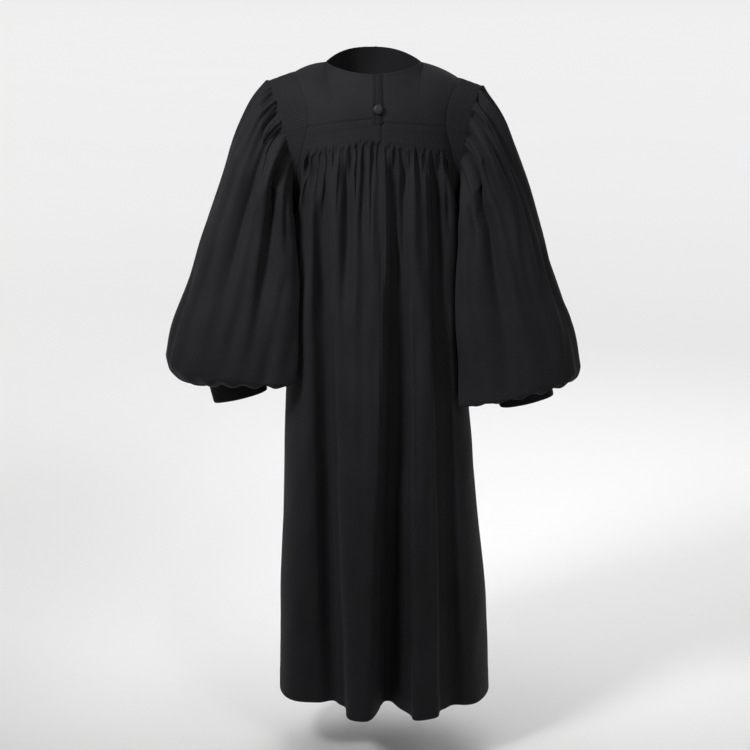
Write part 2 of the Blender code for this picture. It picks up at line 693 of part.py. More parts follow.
def make_yoke(name, side, hand, material):
    """Half of the back or front yoke."""
    def row_at(across, up):
        return yoke_row(side, hand, across, up)

    across = np.linspace(centre_x(side) / YOKE_CORNER_X, float(hand), YOKE_COLUMNS + 1)
    pairs = []
    for up in np.linspace(0.0, 1.0, YOKE_ROWS + 1):
        pair = with_inner(row_at, across, up, YOKE_WALL, -side)
        for points in pair:
            points[0, 0] = centre_x(side) + hand * SEAM_GAP / 2.0
            points[:, 1] = side * np.maximum(side * points[:, 1], SEAM_GAP / 2.0)
        pairs.append(pair)
    return wall(name, pairs, material)


SleeveRow = namedtuple("SleeveRow", "share columns")
SLEEVE_ROWS = [
    SleeveRow(0.00, SLEEVE_FLUTES),
    SleeveRow(0.012, 2 * SLEEVE_FLUTES),
    SleeveRow(0.088, 2 * SLEEVE_FLUTES),
    SleeveRow(0.10, 4 * SLEEVE_GATHERS),
    SleeveRow(0.125, 4 * SLEEVE_GATHERS),
    SleeveRow(0.165, 4 * SLEEVE_GATHERS),
    SleeveRow(0.23, 4 * SLEEVE_GATHERS),
    SleeveRow(0.32, 40),
    SleeveRow(0.44, 40),
    SleeveRow(0.58, 40),
    SleeveRow(0.73, 40),
    SleeveRow(0.88, 40),
    SleeveRow(1.00, 40),
    SleeveRow(1.18, 40),
    SleeveRow(1.45, 4 * CUFF_GATHERS),
    SleeveRow(1.75, 4 * CUFF_GATHERS),
    SleeveRow(2.00, 36),
]


def sleeve_flutes(place, share):
    """The shirring of the sleeve's head: every other column stands out, less and less towards
    the underarm, where the band ends."""
    if not 0.0 < share < 0.10:
        return np.zeros_like(place)
    over = 0.5 + 0.5 * np.cos(2.0 * math.pi * place)
    return FLUTE_HEIGHT * smoothstep(0.15, 0.45, over) * (np.arange(len(place)) % 2)


def make_sleeve(name, hand, material):
    """A sleeve from the armhole to the cuff's top edge."""
    def row_at(place, share):
        return sleeve_row(hand, place, share)

    pairs = []
    for row in SLEEVE_ROWS:
        place = np.arange(row.columns) / row.columns
        reach = 0.02 if row.share < 0.095 else 0.04 if row.share < 0.12 else 0.03 if row.share < 0.3 else 0.003
        raised = sleeve_flutes(place, row.share)
        pairs.append(with_inner(row_at, place, row.share, BODY_WALL, hand, reach, raised))
    return wall(name, pairs, material, closed=True)


def make_cuff(name, hand, material):
    """The band that a sleeve is gathered into."""
    def row_at(place, down):
        return cuff_ring(hand, place, down)

    place = np.arange(CUFF_COLUMNS) / CUFF_COLUMNS
    downs = np.linspace(0.0, CUFF_HEIGHT, 4)
    pairs = [with_inner(row_at, place, down, CUFF_WALL, hand) for down in downs]
    return wall(name, pairs, material, closed=True)


def back_face_y(x, z):
    """The outer face of the back at a place near its centre line, on the yoke or just below."""
    hand = LEFT if x < CENTRE_BACK_X else RIGHT
    across = np.array([x / YOKE_CORNER_X])
    shares = np.linspace(0.4, 0.6, 60)
    line = []
    for fall in np.linspace(0.03, 0.0, 6):
        row = panel_row(BACK, hand, shares, fall)
        line.append([np.interp(x, row[:, 0], row[:, k]) for k in (2, 1)])
    for up in np.linspace(0.0, 1.0, 120):
        line.append(yoke_row(BACK, hand, across, up)[0, [2, 1]])
    line = np.array(line)
    return float(np.interp(z, line[:, 0], line[:, 1]))


def make_strap(name, material):
    """The hood strap: it lies down the middle of the back yoke, from the neck to the seam."""
    pairs = []
    xs = STRAP_CENTRE_X + STRAP_HALF_WIDTH * np.array([-1.0, 0.0, 1.0])
    top = float(neck_point(np.array([0.01]), BACK)[0, 2]) - 0.0015
    for z in np.linspace(top, STRAP_BOTTOM_Z, STRAP_ROWS):
        y = min(back_face_y(x, z) for x in (xs[0], CENTRE_BACK_X - 0.001, xs[-1]))
        under = np.stack([xs, 0 * xs + y - LAID_GAP, 0 * xs + z], axis=1)
        pairs.append((under - [0.0, STRAP_WALL, 0.0], under))
    return wall(name, pairs, material)


def make_button(name, material):
    """A covered dome button with a small flat top, turned about its own axis, which stands
    square to the back."""
    seat, low, high = (back_face_y(BUTTON_X, BUTTON_Z + k * BUTTON_RADIUS) for k in (0, -1, 1))
    tilt = math.atan2(high - low, 2.0 * BUTTON_RADIUS)
    rim = [(BUTTON_RADIUS - 0.0008, 0.0), (BUTTON_RADIUS, 0.0012), (BUTTON_RADIUS, 0.0024)]
    dome = [
        (
            BUTTON_FLAT_RADIUS + (BUTTON_RADIUS - BUTTON_FLAT_RADIUS) * math.cos(turn),
            0.0024 + (BUTTON_HEIGHT - 0.0024) * math.sin(turn),
        )
        for turn in np.linspace(0.0, math.pi / 2.0, 5)[1:]
    ]
    profile = rim + dome
    points, faces = [], []
    for k in range(BUTTON_STEPS):
        turn = 2.0 * math.pi * k / BUTTON_STEPS
        points += [(r * math.cos(turn), -h, r * math.sin(turn)) for r, h in profile]
    count = len(profile)
    for k in range(BUTTON_STEPS):
        a, b = k * count, (k + 1) % BUTTON_STEPS * count
        faces += [(a + i, b + i, b + i + 1, a + i + 1) for i in range(count - 1)]
    faces.append([k * count for k in reversed(range(BUTTON_STEPS))])
    faces.append([k * count + count - 1 for k in range(BUTTON_STEPS)])
    mesh = bpy.data.meshes.new(name)
    mesh.from_pydata(points, [], faces)
    mesh.update()
    mesh.shade_smooth()
    mesh.set_sharp_from_angle(angle=math.radians(40.0))
    mesh.materials.append(material)
    button = bpy.data.objects.new(name, mesh)
    button.location = (BUTTON_X, seat - 2.0 * LAID_GAP - STRAP_WALL, BUTTON_Z)
    button.rotation_euler.x = -tilt
    bpy.context.scene.collection.objects.link(button)
    return button


def make_placket(name, material):
    """The flat strip that covers the front closing from the neck to the hem. It takes the rows
    of the yoke and the body under it, moved out."""
    across = np.linspace(-0.4, 0.4, 160)
    shares = np.linspace(0.3, 0.7, 240)
    rows = [yoke_row(FRONT, LEFT, across, up) for up in np.linspace(0.99, 0.0, YOKE_ROWS + 1)]
    rows += [panel_row(FRONT, LEFT, shares, row.fall) for row in PANEL_ROWS[2:]]
    xs = PLACKET_HALF * np.linspace(-1.0, 1.0, 5)
    pairs = []
    for row in rows:
        y, z = (np.interp(xs, row[:, 0], row[:, k]) for k in (1, 2))
        under = np.stack([xs, y + PLACKET_GAP, z], axis=1)
        pairs.append((under + [0.0, STRAP_WALL, 0.0], under))
    return wall(name, pairs, material)


def main():
    clear_scene()
    robe_cloth = cloth("robe_cloth", (0.018, 0.018, 0.020), 0.85)
    yoke_cloth = cloth("yoke_cloth", (0.020, 0.020, 0.022), 0.82)
    button_cloth = cloth("button_cloth", (0.026, 0.026, 0.030), 0.60)
    hands = ((LEFT, "left"), (RIGHT, "right"))
    for side, side_name in ((BACK, "back"), (FRONT, "front")):
        for hand, hand_name in hands:
            make_yoke(f"{side_name}_yoke_{hand_name}", side, hand, yoke_cloth)
            make_panel(f"{side_name}_panel_{hand_name}", side, hand, robe_cloth)
    for hand, hand_name in hands:
        make_sleeve(f"sleeve_{hand_name}", hand, robe_cloth)
        make_cuff(f"cuff_{hand_name}", hand, robe_cloth)
    make_placket("front_placket", yoke_cloth)
    make_strap("hood_strap", yoke_cloth)
    make_button("hood_button", button_cloth)


main()
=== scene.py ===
"""Clergy robe, full length, as it looks when it is filled out: cloth shells with their shirring,
gathers, folds and sewing, and the plain studio that shows them.

Metres, +Z up. The back of the robe faces -Y and its front faces +Y, so +X is the wearer's right.
"""

import json
import math
from collections import namedtuple

import bpy
import numpy as np
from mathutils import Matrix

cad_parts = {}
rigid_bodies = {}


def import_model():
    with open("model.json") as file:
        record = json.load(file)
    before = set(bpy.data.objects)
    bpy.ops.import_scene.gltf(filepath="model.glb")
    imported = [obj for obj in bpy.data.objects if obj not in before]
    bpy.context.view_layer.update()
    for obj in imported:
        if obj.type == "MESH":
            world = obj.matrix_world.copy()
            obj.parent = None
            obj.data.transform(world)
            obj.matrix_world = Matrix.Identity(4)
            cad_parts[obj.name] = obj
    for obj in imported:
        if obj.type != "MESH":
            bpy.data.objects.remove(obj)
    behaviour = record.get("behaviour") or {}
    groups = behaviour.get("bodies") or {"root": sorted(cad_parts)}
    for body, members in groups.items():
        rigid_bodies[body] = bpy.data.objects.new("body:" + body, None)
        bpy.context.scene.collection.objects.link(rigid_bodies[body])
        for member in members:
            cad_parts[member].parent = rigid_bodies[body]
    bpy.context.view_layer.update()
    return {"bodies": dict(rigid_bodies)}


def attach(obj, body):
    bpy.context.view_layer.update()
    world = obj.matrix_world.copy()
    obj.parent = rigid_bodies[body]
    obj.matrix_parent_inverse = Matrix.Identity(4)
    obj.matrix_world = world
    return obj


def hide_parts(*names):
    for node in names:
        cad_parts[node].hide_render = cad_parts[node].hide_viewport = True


bl_info = {
    "name": "Clergy robe",
    "version": (1, 0, 0),
    "blender": (4, 5, 0),
    "location": "3D View > Sidebar > Robe",
    "description": "Builds a full length clergy robe with shirred bands and bell sleeves",
    "category": "Object",
}

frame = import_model()
MODEL_BODY = list(frame["bodies"])[0]

LEFT, RIGHT = -1, 1
BACK, FRONT = -1, 1
HANDS = ((LEFT, "left"), (RIGHT, "right"))
SIDES = ((BACK, "back"), (FRONT, "front"))
TURN = 2.0 * math.pi

# Clear spaces: at a sewn seam, between back and front at the side seam, and under a laid strip
SEAM_GAP = 0.0001
SIDE_SEAM_GAP = 0.000002
LAID_GAP = 0.0004

# Steps round a section when its length is measured
DENSE = 720

# Neck opening, an ellipse that tips up towards the front, with a soft point at the closing
NECK_HALF_WIDTH = 0.096
NECK_CENTRE_X = -0.006
NECK_HALF_DEPTH = 0.083
NECK_BACK_DROP = 0.019
NECK_FRONT_RISE = 0.025
NECK_FRONT_POWER = {LEFT: 3.0, RIGHT: 2.3}
FRONT_POINT = 0.07

# Yoke. The neck takes NECK_SHARE of its upper edge and the shoulder seam takes the rest.
YOKE_CORNER_X = 0.137
SHOULDER_X = 0.164
SHOULDER_DROP = {LEFT: 0.019, RIGHT: 0.031}
SHOULDER_CROWN = 0.004
NECK_SHARE = 0.6
CENTRE_BACK_X = 0.009
SEAM_LEVEL = -0.115

# The yoke's lower seam sinks from its level at the centre line by a power of the distance
SeamLine = namedtuple("SeamLine", "level sink power")
FRONT_SEAM = SeamLine(SEAM_LEVEL - 0.002, 0.007, 2.0)
SEAM_LINES = {
    (BACK, LEFT): SeamLine(-0.104, 0.018, 1.3),
    (BACK, RIGHT): SeamLine(-0.112, 0.011, 1.5),
    (FRONT, LEFT): FRONT_SEAM,
    (FRONT, RIGHT): FRONT_SEAM,
}

# The yoke's columns are cubic curves. A handle is a share of the column's length, and slopes are
# (inwards, up), at the lower seam, the neck and the shoulder. ROLL_OUT is the range across the
# yoke over which the neck's slope turns into the shoulder's.
YOKE_HANDLE = 0.42
SEAM_SLOPE = (0.05, 1.0)
NECK_SLOPE = (0.42, 0.90)
SHOULDER_SLOPE = (1.0, 0.05)
ROLL_OUT = (0.05, 1.0)

# Shirred bands. The body's band dips towards the sides. The sleeve's band is the first part of
# the sleeve's length and stands out from the armhole, by a least share of its reach under the
# arm and growing towards the shoulder. It leans to back and front, and sinks, most at the top.
BAND_HEIGHT = 0.045
BAND_DIP = 0.006
SLEEVE_BAND = {LEFT: 0.056, RIGHT: 0.051}
SLEEVE_BAND_SHARE = 0.10
LEAST_BAND = 0.10
BAND_GROWTH = (0.12, 0.75)
BAND_LEAN = 0.30
BAND_SINK = 0.10
BAND_TOP_SINK = 0.26

# Body. A fall is a distance down from the yoke's seam. The seam's slope dies out by LEVEL_OUT,
# and over SPREAD_OUT the columns go from hanging straight down to an even spread.
HEM_LEVEL = -1.335
HEM_HEIGHT = 0.045
BODY_FALL = SEAM_LEVEL - HEM_LEVEL
ARMHOLE_FALL = 0.165
ARMHOLE_CORNER_SHARE = 0.783
ARMHOLE_POWER = 1.5
LEVEL_OUT = 0.30
SPREAD_OUT = (0.20, 0.50)

# Easing of the cloth where the armhole ends: rounds of it, and its reach down and from the edge
FOOT_PASSES = 18
FOOT_REACH = 0.035
FOOT_EDGE = 0.03

BodySection = namedtuple("BodySection", "z half_width half_depth squareness centre_x")
BODY_SECTIONS = [
    BodySection(-0.08, 0.177, 0.110, 2.7, 0.000),
    BodySection(-0.20, 0.172, 0.126, 2.6, 0.000),
    BodySection(-0.30, 0.172, 0.136, 2.5, 0.000),
    BodySection(-0.52, 0.181, 0.150, 2.4, 0.001),
    BodySection(-0.744, 0.194, 0.166, 2.3, 0.002),
    BodySection(-0.92, 0.204, 0.180, 2.2, 0.008),
    BodySection(-1.10, 0.218, 0.196, 2.1, 0.014),
    BodySection(-1.335, 0.226, 0.212, 2.0, 0.017),
]

# Long folds of the body. Each has a value at each of these levels.
FOLD_LEVELS = (-0.165, -0.24, -0.55, -0.92, -1.335)
Fold = namedtuple("Fold", "centre_x half_width depth softness")
BODY_FOLDS = {
    BACK: [
        Fold((-0.112, -0.114, -0.114, -0.116, -0.126), (0.008, 0.012, 0.023, 0.032, 0.048),
             (0.0, 0.014, 0.027, 0.050, 0.080), 0.36),
        Fold((-0.056, -0.055, -0.062, -0.060, -0.060), (0.008, 0.010, 0.012, 0.016, 0.016),
             (0.0, 0.008, 0.006, 0.000, 0.000), 0.50),
        Fold((0.042, 0.042, 0.040, 0.036, 0.030), (0.014, 0.016, 0.020, 0.025, 0.032),
             (0.0, 0.007, 0.037, 0.076, 0.118), 0.36),
        Fold((0.112, 0.118, 0.136, 0.148, 0.170), (0.008, 0.012, 0.014, 0.018, 0.030),
             (0.0, 0.015, 0.022, 0.026, 0.040), 0.36),
    ],
    FRONT: [
        Fold((-0.118, -0.120, -0.128, -0.134, -0.140), (0.008, 0.011, 0.014, 0.018, 0.024),
             (0.0, 0.012, 0.020, 0.032, 0.040), 0.35),
        Fold((-0.062, -0.064, -0.068, -0.072, -0.078), (0.012, 0.014, 0.016, 0.020, 0.026),
             (0.0, 0.014, 0.028, 0.050, 0.076), 0.30),
        Fold((0.054, 0.056, 0.062, 0.066, 0.070), (0.012, 0.014, 0.015, 0.019, 0.025),
             (0.0, 0.013, 0.025, 0.044, 0.064), 0.30),
        Fold((0.112, 0.114, 0.124, 0.136, 0.146), (0.008, 0.011, 0.014, 0.018, 0.024),
             (0.0, 0.014, 0.022, 0.034, 0.044), 0.35),
    ],
}

# Gathers: their depth, and the ranges over which they rise and fade. On the body the ranges are
# distances below the band, for a fine set and a wider one that it merges into. On the sleeves
# they are shares of the length, below the head and above the cuff.
Gather = namedtuple("Gather", "depth rise fade")
FINE_GATHER = Gather(0.0034, (0.0, 0.012), (0.04, 0.12))
WIDE_GATHER = Gather(0.0065, (0.01, 0.06), (0.12, 0.40))
HEAD_GATHER = Gather(0.0055, (0.10, 0.125), (0.20, 0.50))
CUFF_GATHER = Gather(0.0030, (1.05, 1.45), (1.90, 2.0))
BODY_GATHERS = 22
SLEEVE_GATHERS = 16
CUFF_GATHERS = 16

# Plain cloth without gathers: at each side edge and beside the closing, as shares of the width,
# and beside the closing without flutes, in metres
PLAIN_EDGE = 0.05
PLAIN_CENTRE = (0.055, 0.085)
PLAIN_CLOSING = (0.012, 0.022)
PLACKET_HALF = 0.017

# Sleeve sections, from the armhole, share 0, to the lip over the cuff, share 1
SleeveSection = namedtuple(
    "SleeveSection", "share outer_x outer_z inner_x inner_z half_depth centre_y"
)
SLEEVE_SECTIONS = {
    LEFT: [
        SleeveSection(0.00, 0.164, -0.022, 0.172, -0.280, 0.090, 0.000),
        SleeveSection(0.10, 0.213, -0.038, 0.172, -0.284, 0.090, 0.000),
        SleeveSection(0.17, 0.240, -0.064, 0.158, -0.300, 0.100, -0.008),
        SleeveSection(0.26, 0.267, -0.110, 0.150, -0.318, 0.106, -0.014),
        SleeveSection(0.36, 0.292, -0.164, 0.146, -0.340, 0.109, -0.018),
        SleeveSection(0.47, 0.313, -0.230, 0.143, -0.358, 0.108, -0.020),
        SleeveSection(0.60, 0.348, -0.325, 0.134, -0.412, 0.111, -0.025),
        SleeveSection(0.74, 0.384, -0.435, 0.130, -0.482, 0.113, -0.028),
        SleeveSection(0.87, 0.420, -0.528, 0.130, -0.566, 0.115, -0.030),
        SleeveSection(1.00, 0.434, -0.596, 0.133, -0.642, 0.117, -0.031),
    ],
    RIGHT: [
        SleeveSection(0.00, 0.164, -0.032, 0.172, -0.280, 0.090, 0.000),
        SleeveSection(0.10, 0.206, -0.050, 0.172, -0.284, 0.090, 0.000),
        SleeveSection(0.17, 0.227, -0.074, 0.162, -0.300, 0.100, -0.008),
        SleeveSection(0.26, 0.254, -0.114, 0.155, -0.320, 0.106, -0.014),
        SleeveSection(0.36, 0.278, -0.166, 0.152, -0.345, 0.109, -0.018),
        SleeveSection(0.47, 0.307, -0.236, 0.150, -0.366, 0.108, -0.020),
        SleeveSection(0.60, 0.335, -0.330, 0.142, -0.424, 0.111, -0.025),
        SleeveSection(0.74, 0.364, -0.432, 0.138, -0.502, 0.113, -0.028),
        SleeveSection(0.87, 0.404, -0.532, 0.139, -0.600, 0.115, -0.030),
        SleeveSection(1.00, 0.421, -0.618, 0.140, -0.690, 0.117, -0.031),
    ],
}
SLEEVE_SQUARENESS = 2.4

# The sleeve's own sections take over from the armhole's line within ARMHOLE_BLEND of its length,
# and OUTER_BLEND sooner on the outer line
ARMHOLE_BLEND = 0.22
OUTER_BLEND = 0.16

# Least space between sleeve and body, how softly it sets in, and how much further out the
# sleeve's inner line lies on the front, from one height round the section to another
BODY_CLEARANCE = 0.012
CLEARANCE_SOFTNESS = 0.004
FRONT_EASE = 0.055
FRONT_EASE_RANGE = (-0.2, 1.0)

# The lip over the cuff: how far it sags, and the powers of its curve in plan and in height
LIP_SAG = 0.014
LIP_PLAN_POWER = 1.8
LIP_SAG_POWER = 0.8

# Half the distance over which the sleeve's slopes are read, and the least share they reach to
SLOPE_STEP = 0.004
SLOPE_LEAST_SHARE = 0.2

# Long folds of the sleeves. The place runs round from the outer line, 0, over the back, 0.25,
# the inner line, 0.5, and the front, 0.75. Depths are at the four shares.
SLEEVE_FOLD_SHARES = (0.10, 0.25, 0.60, 1.00)
SLEEVE_FOLD_FADE = (1.0, 1.2)
SleeveFold = namedtuple("SleeveFold", "place half_width depth")
SLEEVE_FOLDS = {
    LEFT: [
        SleeveFold((0.08, 0.08, 0.09, 0.06), 0.018, (0.0, 0.006, 0.010, 0.006)),
        SleeveFold((0.17, 0.18, 0.19, 0.20), 0.026, (0.0, 0.013, 0.011, 0.003)),
        SleeveFold((0.29, 0.29, 0.31, 0.33), 0.024, (0.0, 0.012, 0.012, 0.005)),
        SleeveFold((0.64, 0.65, 0.66, 0.66), 0.028, (0.0, 0.009, 0.011, 0.005)),
        SleeveFold((0.75, 0.75, 0.76, 0.77), 0.028, (0.0, 0.010, 0.010, 0.004)),
        SleeveFold((0.86, 0.87, 0.87, 0.89), 0.026, (0.0, 0.009, 0.008, 0.004)),
    ],
    RIGHT: [
        SleeveFold((0.09, 0.10, 0.08, 0.06), 0.020, (0.0, 0.008, 0.007, 0.004)),
        SleeveFold((0.20, 0.22, 0.20, 0.18), 0.020, (0.0, 0.008, 0.006, 0.002)),
        SleeveFold((0.28, 0.29, 0.28, 0.28), 0.028, (0.0, 0.014, 0.011, 0.004)),
        SleeveFold((0.64, 0.64, 0.65, 0.66), 0.028, (0.0, 0.009, 0.010, 0.004)),
        SleeveFold((0.76, 0.76, 0.77, 0.76), 0.028, (0.0, 0.010, 0.010, 0.005)),
        SleeveFold((0.87, 0.86, 0.87, 0.88), 0.026, (0.0, 0.008, 0.008, 0.003)),
    ],
}

# Cuffs
Cuff = namedtuple("Cuff", "centre_x top_z")
CUFFS = {LEFT: Cuff(0.293, -0.642), RIGHT: Cuff(0.302, -0.652)}
CUFF_CENTRE_Y = -0.024
CUFF_HALF_WIDTH = 0.056
CUFF_HALF_DEPTH = 0.036
CUFF_HEIGHT = 0.044
CUFF_TILT = 0.24

# The cuff's slow waves: height, waves round it, and radians a metre down it
CUFF_WAVES = ((0.0005, 3, 40.0), (0.0004, 7, -55.0))

# Hood strap and its button, on the back yoke
STRAP_CENTRE_X = 0.0015
STRAP_HALF_WIDTH = 0.0100
STRAP_BOTTOM_Z = -0.1135
BUTTON_X = 0.0035
BUTTON_Z = -0.086
BUTTON_RADIUS = 0.0100
BUTTON_FLAT_RADIUS = 0.0040
BUTTON_HEIGHT = 0.0065

# The button's outline up to its rim, as (radius, height), and the height where its dome starts
BUTTON_RIM = (
    (0.0, 0.0), (0.0050, 0.0), (BUTTON_RADIUS - 0.0016, 0.0), (BUTTON_RADIUS - 0.0005, 0.0005),
    (BUTTON_RADIUS, 0.0014),
)
BUTTON_DOME_FOOT = 0.0022
BUTTON_PLEATS = 16.0
BUTTON_PLEAT_DEPTH = 0.018
BUTTON_PLEAT_TOP = 0.0045
BUTTON_CROWN = 0.0001

# How far the strap's and the front strip's outer faces lie from the cloth under them, and their
# bell-shaped troughs as (depth, half width): along the strap's edges, at two places across it,
# round the button, along the strip's edges, and along the strip's line of stitches
STRIP_LIFT = 0.0016
STRAP_EDGE = (0.0009, 0.10)
STRAP_DIP_DEPTH = 0.0008
STRAP_DIPS = ((-0.28, 0.26), (0.76, 0.20))
BUTTON_RING = (0.0009, 0.0018)
BUTTON_RING_RADIUS = 1.12 * BUTTON_RADIUS
PLACKET_EDGE = (0.0006, 0.0012)
PLACKET_STITCH_LINE = (0.0003, 0.0010)
PLACKET_STITCH_INSET = 0.005

# Slow waves of the strap and the strip: height, and radians down and across
STRAP_WAVE = (0.0003, 9.0, 2.0)
PLACKET_WAVE = (0.0004, 21.0, 60.0)

# How much thinner the strap and the strip are drawn, to stay clear of the cloth under them, and
# how far below the neck's edge the strap begins
STRAP_CLEAR = 0.0002
PLACKET_CLEAR = 0.0003
STRAP_TOP_DROP = 0.0015

# How cloth rolls in at a seam, as (depth, half width)
SEAM_ROLL = (0.0007, 0.0022)
CENTRE_SEAM_ROLL = (0.0016, 0.0026)
YOKE_EDGE_ROLL = (0.0005, 0.0022)
CUFF_EDGE_ROLL = (0.0008, 0.0020)

# Distance from an edge at which the fine relief is at its full height
CALM_CENTRE = 0.008
CALM_SIDE = 0.010
CALM_YOKE = 0.012
CALM_ARMHOLE = 0.006

# Where rows of stitches run, from an edge: on the neck, on the yoke's lower seam, on the cuffs
NECK_STITCH_INSET = 0.006
NECK_STITCH_LINE = (0.0004, 0.0012)
YOKE_STITCH_INSET = 0.003
CUFF_STITCH_INSET = 0.004
NECK_STITCH_SHARE = 0.985 * NECK_SHARE

# A stitch: its size, and its five rings' places along it, widths and heights, as shares
STITCH_LENGTH = 0.0022
STITCH_THICKNESS = 0.0005
STITCH_RINGS = np.array([-0.5, -0.36, 0.0, 0.36, 0.5])
STITCH_WIDTHS = np.array([0.25, 0.8, 1.0, 0.8, 0.25])
STITCH_HEIGHTS = np.array([-0.35, 0.05, 0.3, 0.05, -0.35])

# Columns and rows of the smaller meshes
YOKE_STEPS = (96, 72)
STRAP_STEPS = (24, 90)
PLACKET_COLUMNS = 24
BUTTON_STEPS = (96, 14)
CUFF_STEPS = (240, 32)

# Rows of the larger meshes, as parts of (start, end, count): falls and shares of the length
BODY_LEVELS = (
    (0.0, 0.045, 20), (0.045, 0.10, 26), (0.10, 0.26, 34), (0.26, BODY_FALL - 0.05, 64),
    (BODY_FALL - 0.05, BODY_FALL, 12),
)
PLACKET_LEVELS = ((0.006, BAND_HEIGHT, 14), (BAND_HEIGHT, 0.30, 50), (0.30, BODY_FALL, 90))
SLEEVE_LEVELS = (
    (0.0, 0.10, 16), (0.10, 0.30, 26), (0.30, 1.0, 38), (1.0, 1.6, 16), (1.6, 2.0, 12)
)

# Angles in degrees from which an edge is shown sharp
SHARP_ANGLE = 75.0
STITCH_SHARP_ANGLE = 80.0

# Smaller creases, each a soft trough, or a ridge where its depth is negative. The centre goes
# from top_at, at the top, to low_at, at the low end. On the body the centre is an x and the ends
# are falls, and on a sleeve they are places round it and shares of its length.
Crease = namedtuple("Crease", "top_at low_at top low half_width depth")
BODY_CREASES = {
    BACK: [
        Crease(-0.1150, -0.0850, 0.048, 2.00, 0.0130, 0.0220),
        Crease(-0.1600, -0.1660, 0.050, 0.42, 0.0050, 0.0050),
        Crease(0.0380, 0.0400, 0.046, 0.90, 0.0100, 0.0110),
        Crease(0.1150, 0.1320, 0.048, 0.80, 0.0095, 0.0110),
        Crease(0.1740, 0.1860, 0.060, 0.48, 0.0060, 0.0065),
        Crease(-0.137, -0.150, 0.045, 0.22, 0.0045, 0.0045),
        Crease(-0.101, -0.108, 0.040, 0.24, 0.0046, 0.0080),
        Crease(-0.072, -0.078, 0.044, 0.20, 0.0030, 0.0040),
        Crease(-0.058, -0.060, 0.038, 0.20, 0.0030, 0.0036),
        Crease(-0.040, -0.043, 0.044, 0.22, 0.0034, 0.0060),
        Crease(-0.024, -0.030, 0.036, 0.24, 0.0030, 0.0050),
        Crease(-0.007, -0.014, 0.042, 0.30, 0.0032, 0.0040),
        Crease(0.0115, 0.012, 0.045, 0.36, 0.0042, 0.0070),
        Crease(0.027, 0.031, 0.040, 0.16, 0.0030, 0.0050),
        Crease(0.058, 0.064, 0.040, 0.16, 0.0028, 0.0032),
        Crease(0.078, 0.086, 0.042, 0.18, 0.0032, 0.0034),
        Crease(0.101, 0.108, 0.048, 0.22, 0.0034, 0.0036),
        Crease(0.137, 0.148, 0.044, 0.24, 0.0042, 0.0058),
        Crease(-0.086, -0.092, 0.20, 0.85, 0.012, 0.0035),
        Crease(-0.030, -0.026, 0.26, 1.02, 0.013, 0.0040),
        Crease(-0.006, 0.000, 0.40, 1.15, 0.012, 0.0026),
        Crease(0.078, 0.086, 0.28, 1.10, 0.012, 0.0044),
        Crease(0.108, 0.112, 0.55, 1.18, 0.012, 0.0034),
        Crease(-0.150, -0.165, 0.35, 1.16, 0.013, 0.0040),
        Crease(0.155, 0.180, 0.35, 1.16, 0.012, 0.0040),
        Crease(0.054, 0.064, 0.20, 1.90, 0.0110, 0.0140),
        Crease(0.142, 0.178, 0.30, 1.80, 0.0130, 0.0110),
    ],
    FRONT: [
        Crease(-0.128, -0.138, 0.044, 0.26, 0.0042, 0.0048),
        Crease(-0.100, -0.106, 0.040, 0.20, 0.0034, 0.0044),
        Crease(-0.080, -0.084, 0.046, 0.30, 0.0040, 0.0052),
        Crease(-0.052, -0.056, 0.042, 0.22, 0.0034, 0.0044),
        Crease(-0.034, -0.036, 0.044, 0.28, 0.0038, 0.0046),
        Crease(0.036, 0.040, 0.042, 0.24, 0.0036, 0.0048),
        Crease(0.056, 0.060, 0.044, 0.20, 0.0034, 0.0044),
        Crease(0.082, 0.088, 0.040, 0.30, 0.0040, 0.0052),
        Crease(0.104, 0.112, 0.046, 0.22, 0.0036, 0.0046),
        Crease(0.128, 0.140, 0.044, 0.26, 0.0042, 0.0048),
        Crease(-0.094, -0.106, 0.26, 1.12, 0.013, 0.0044),
        Crease(-0.034, -0.042, 0.30, 1.05, 0.011, 0.0036),
        Crease(0.030, 0.036, 0.24, 1.00, 0.011, 0.0036),
        Crease(0.092, 0.104, 0.32, 1.16, 0.013, 0.0044),
        Crease(-0.155, -0.176, 0.40, 1.18, 0.012, 0.0040),
        Crease(0.155, 0.178, 0.36, 1.16, 0.012, 0.0040),
    ],
}
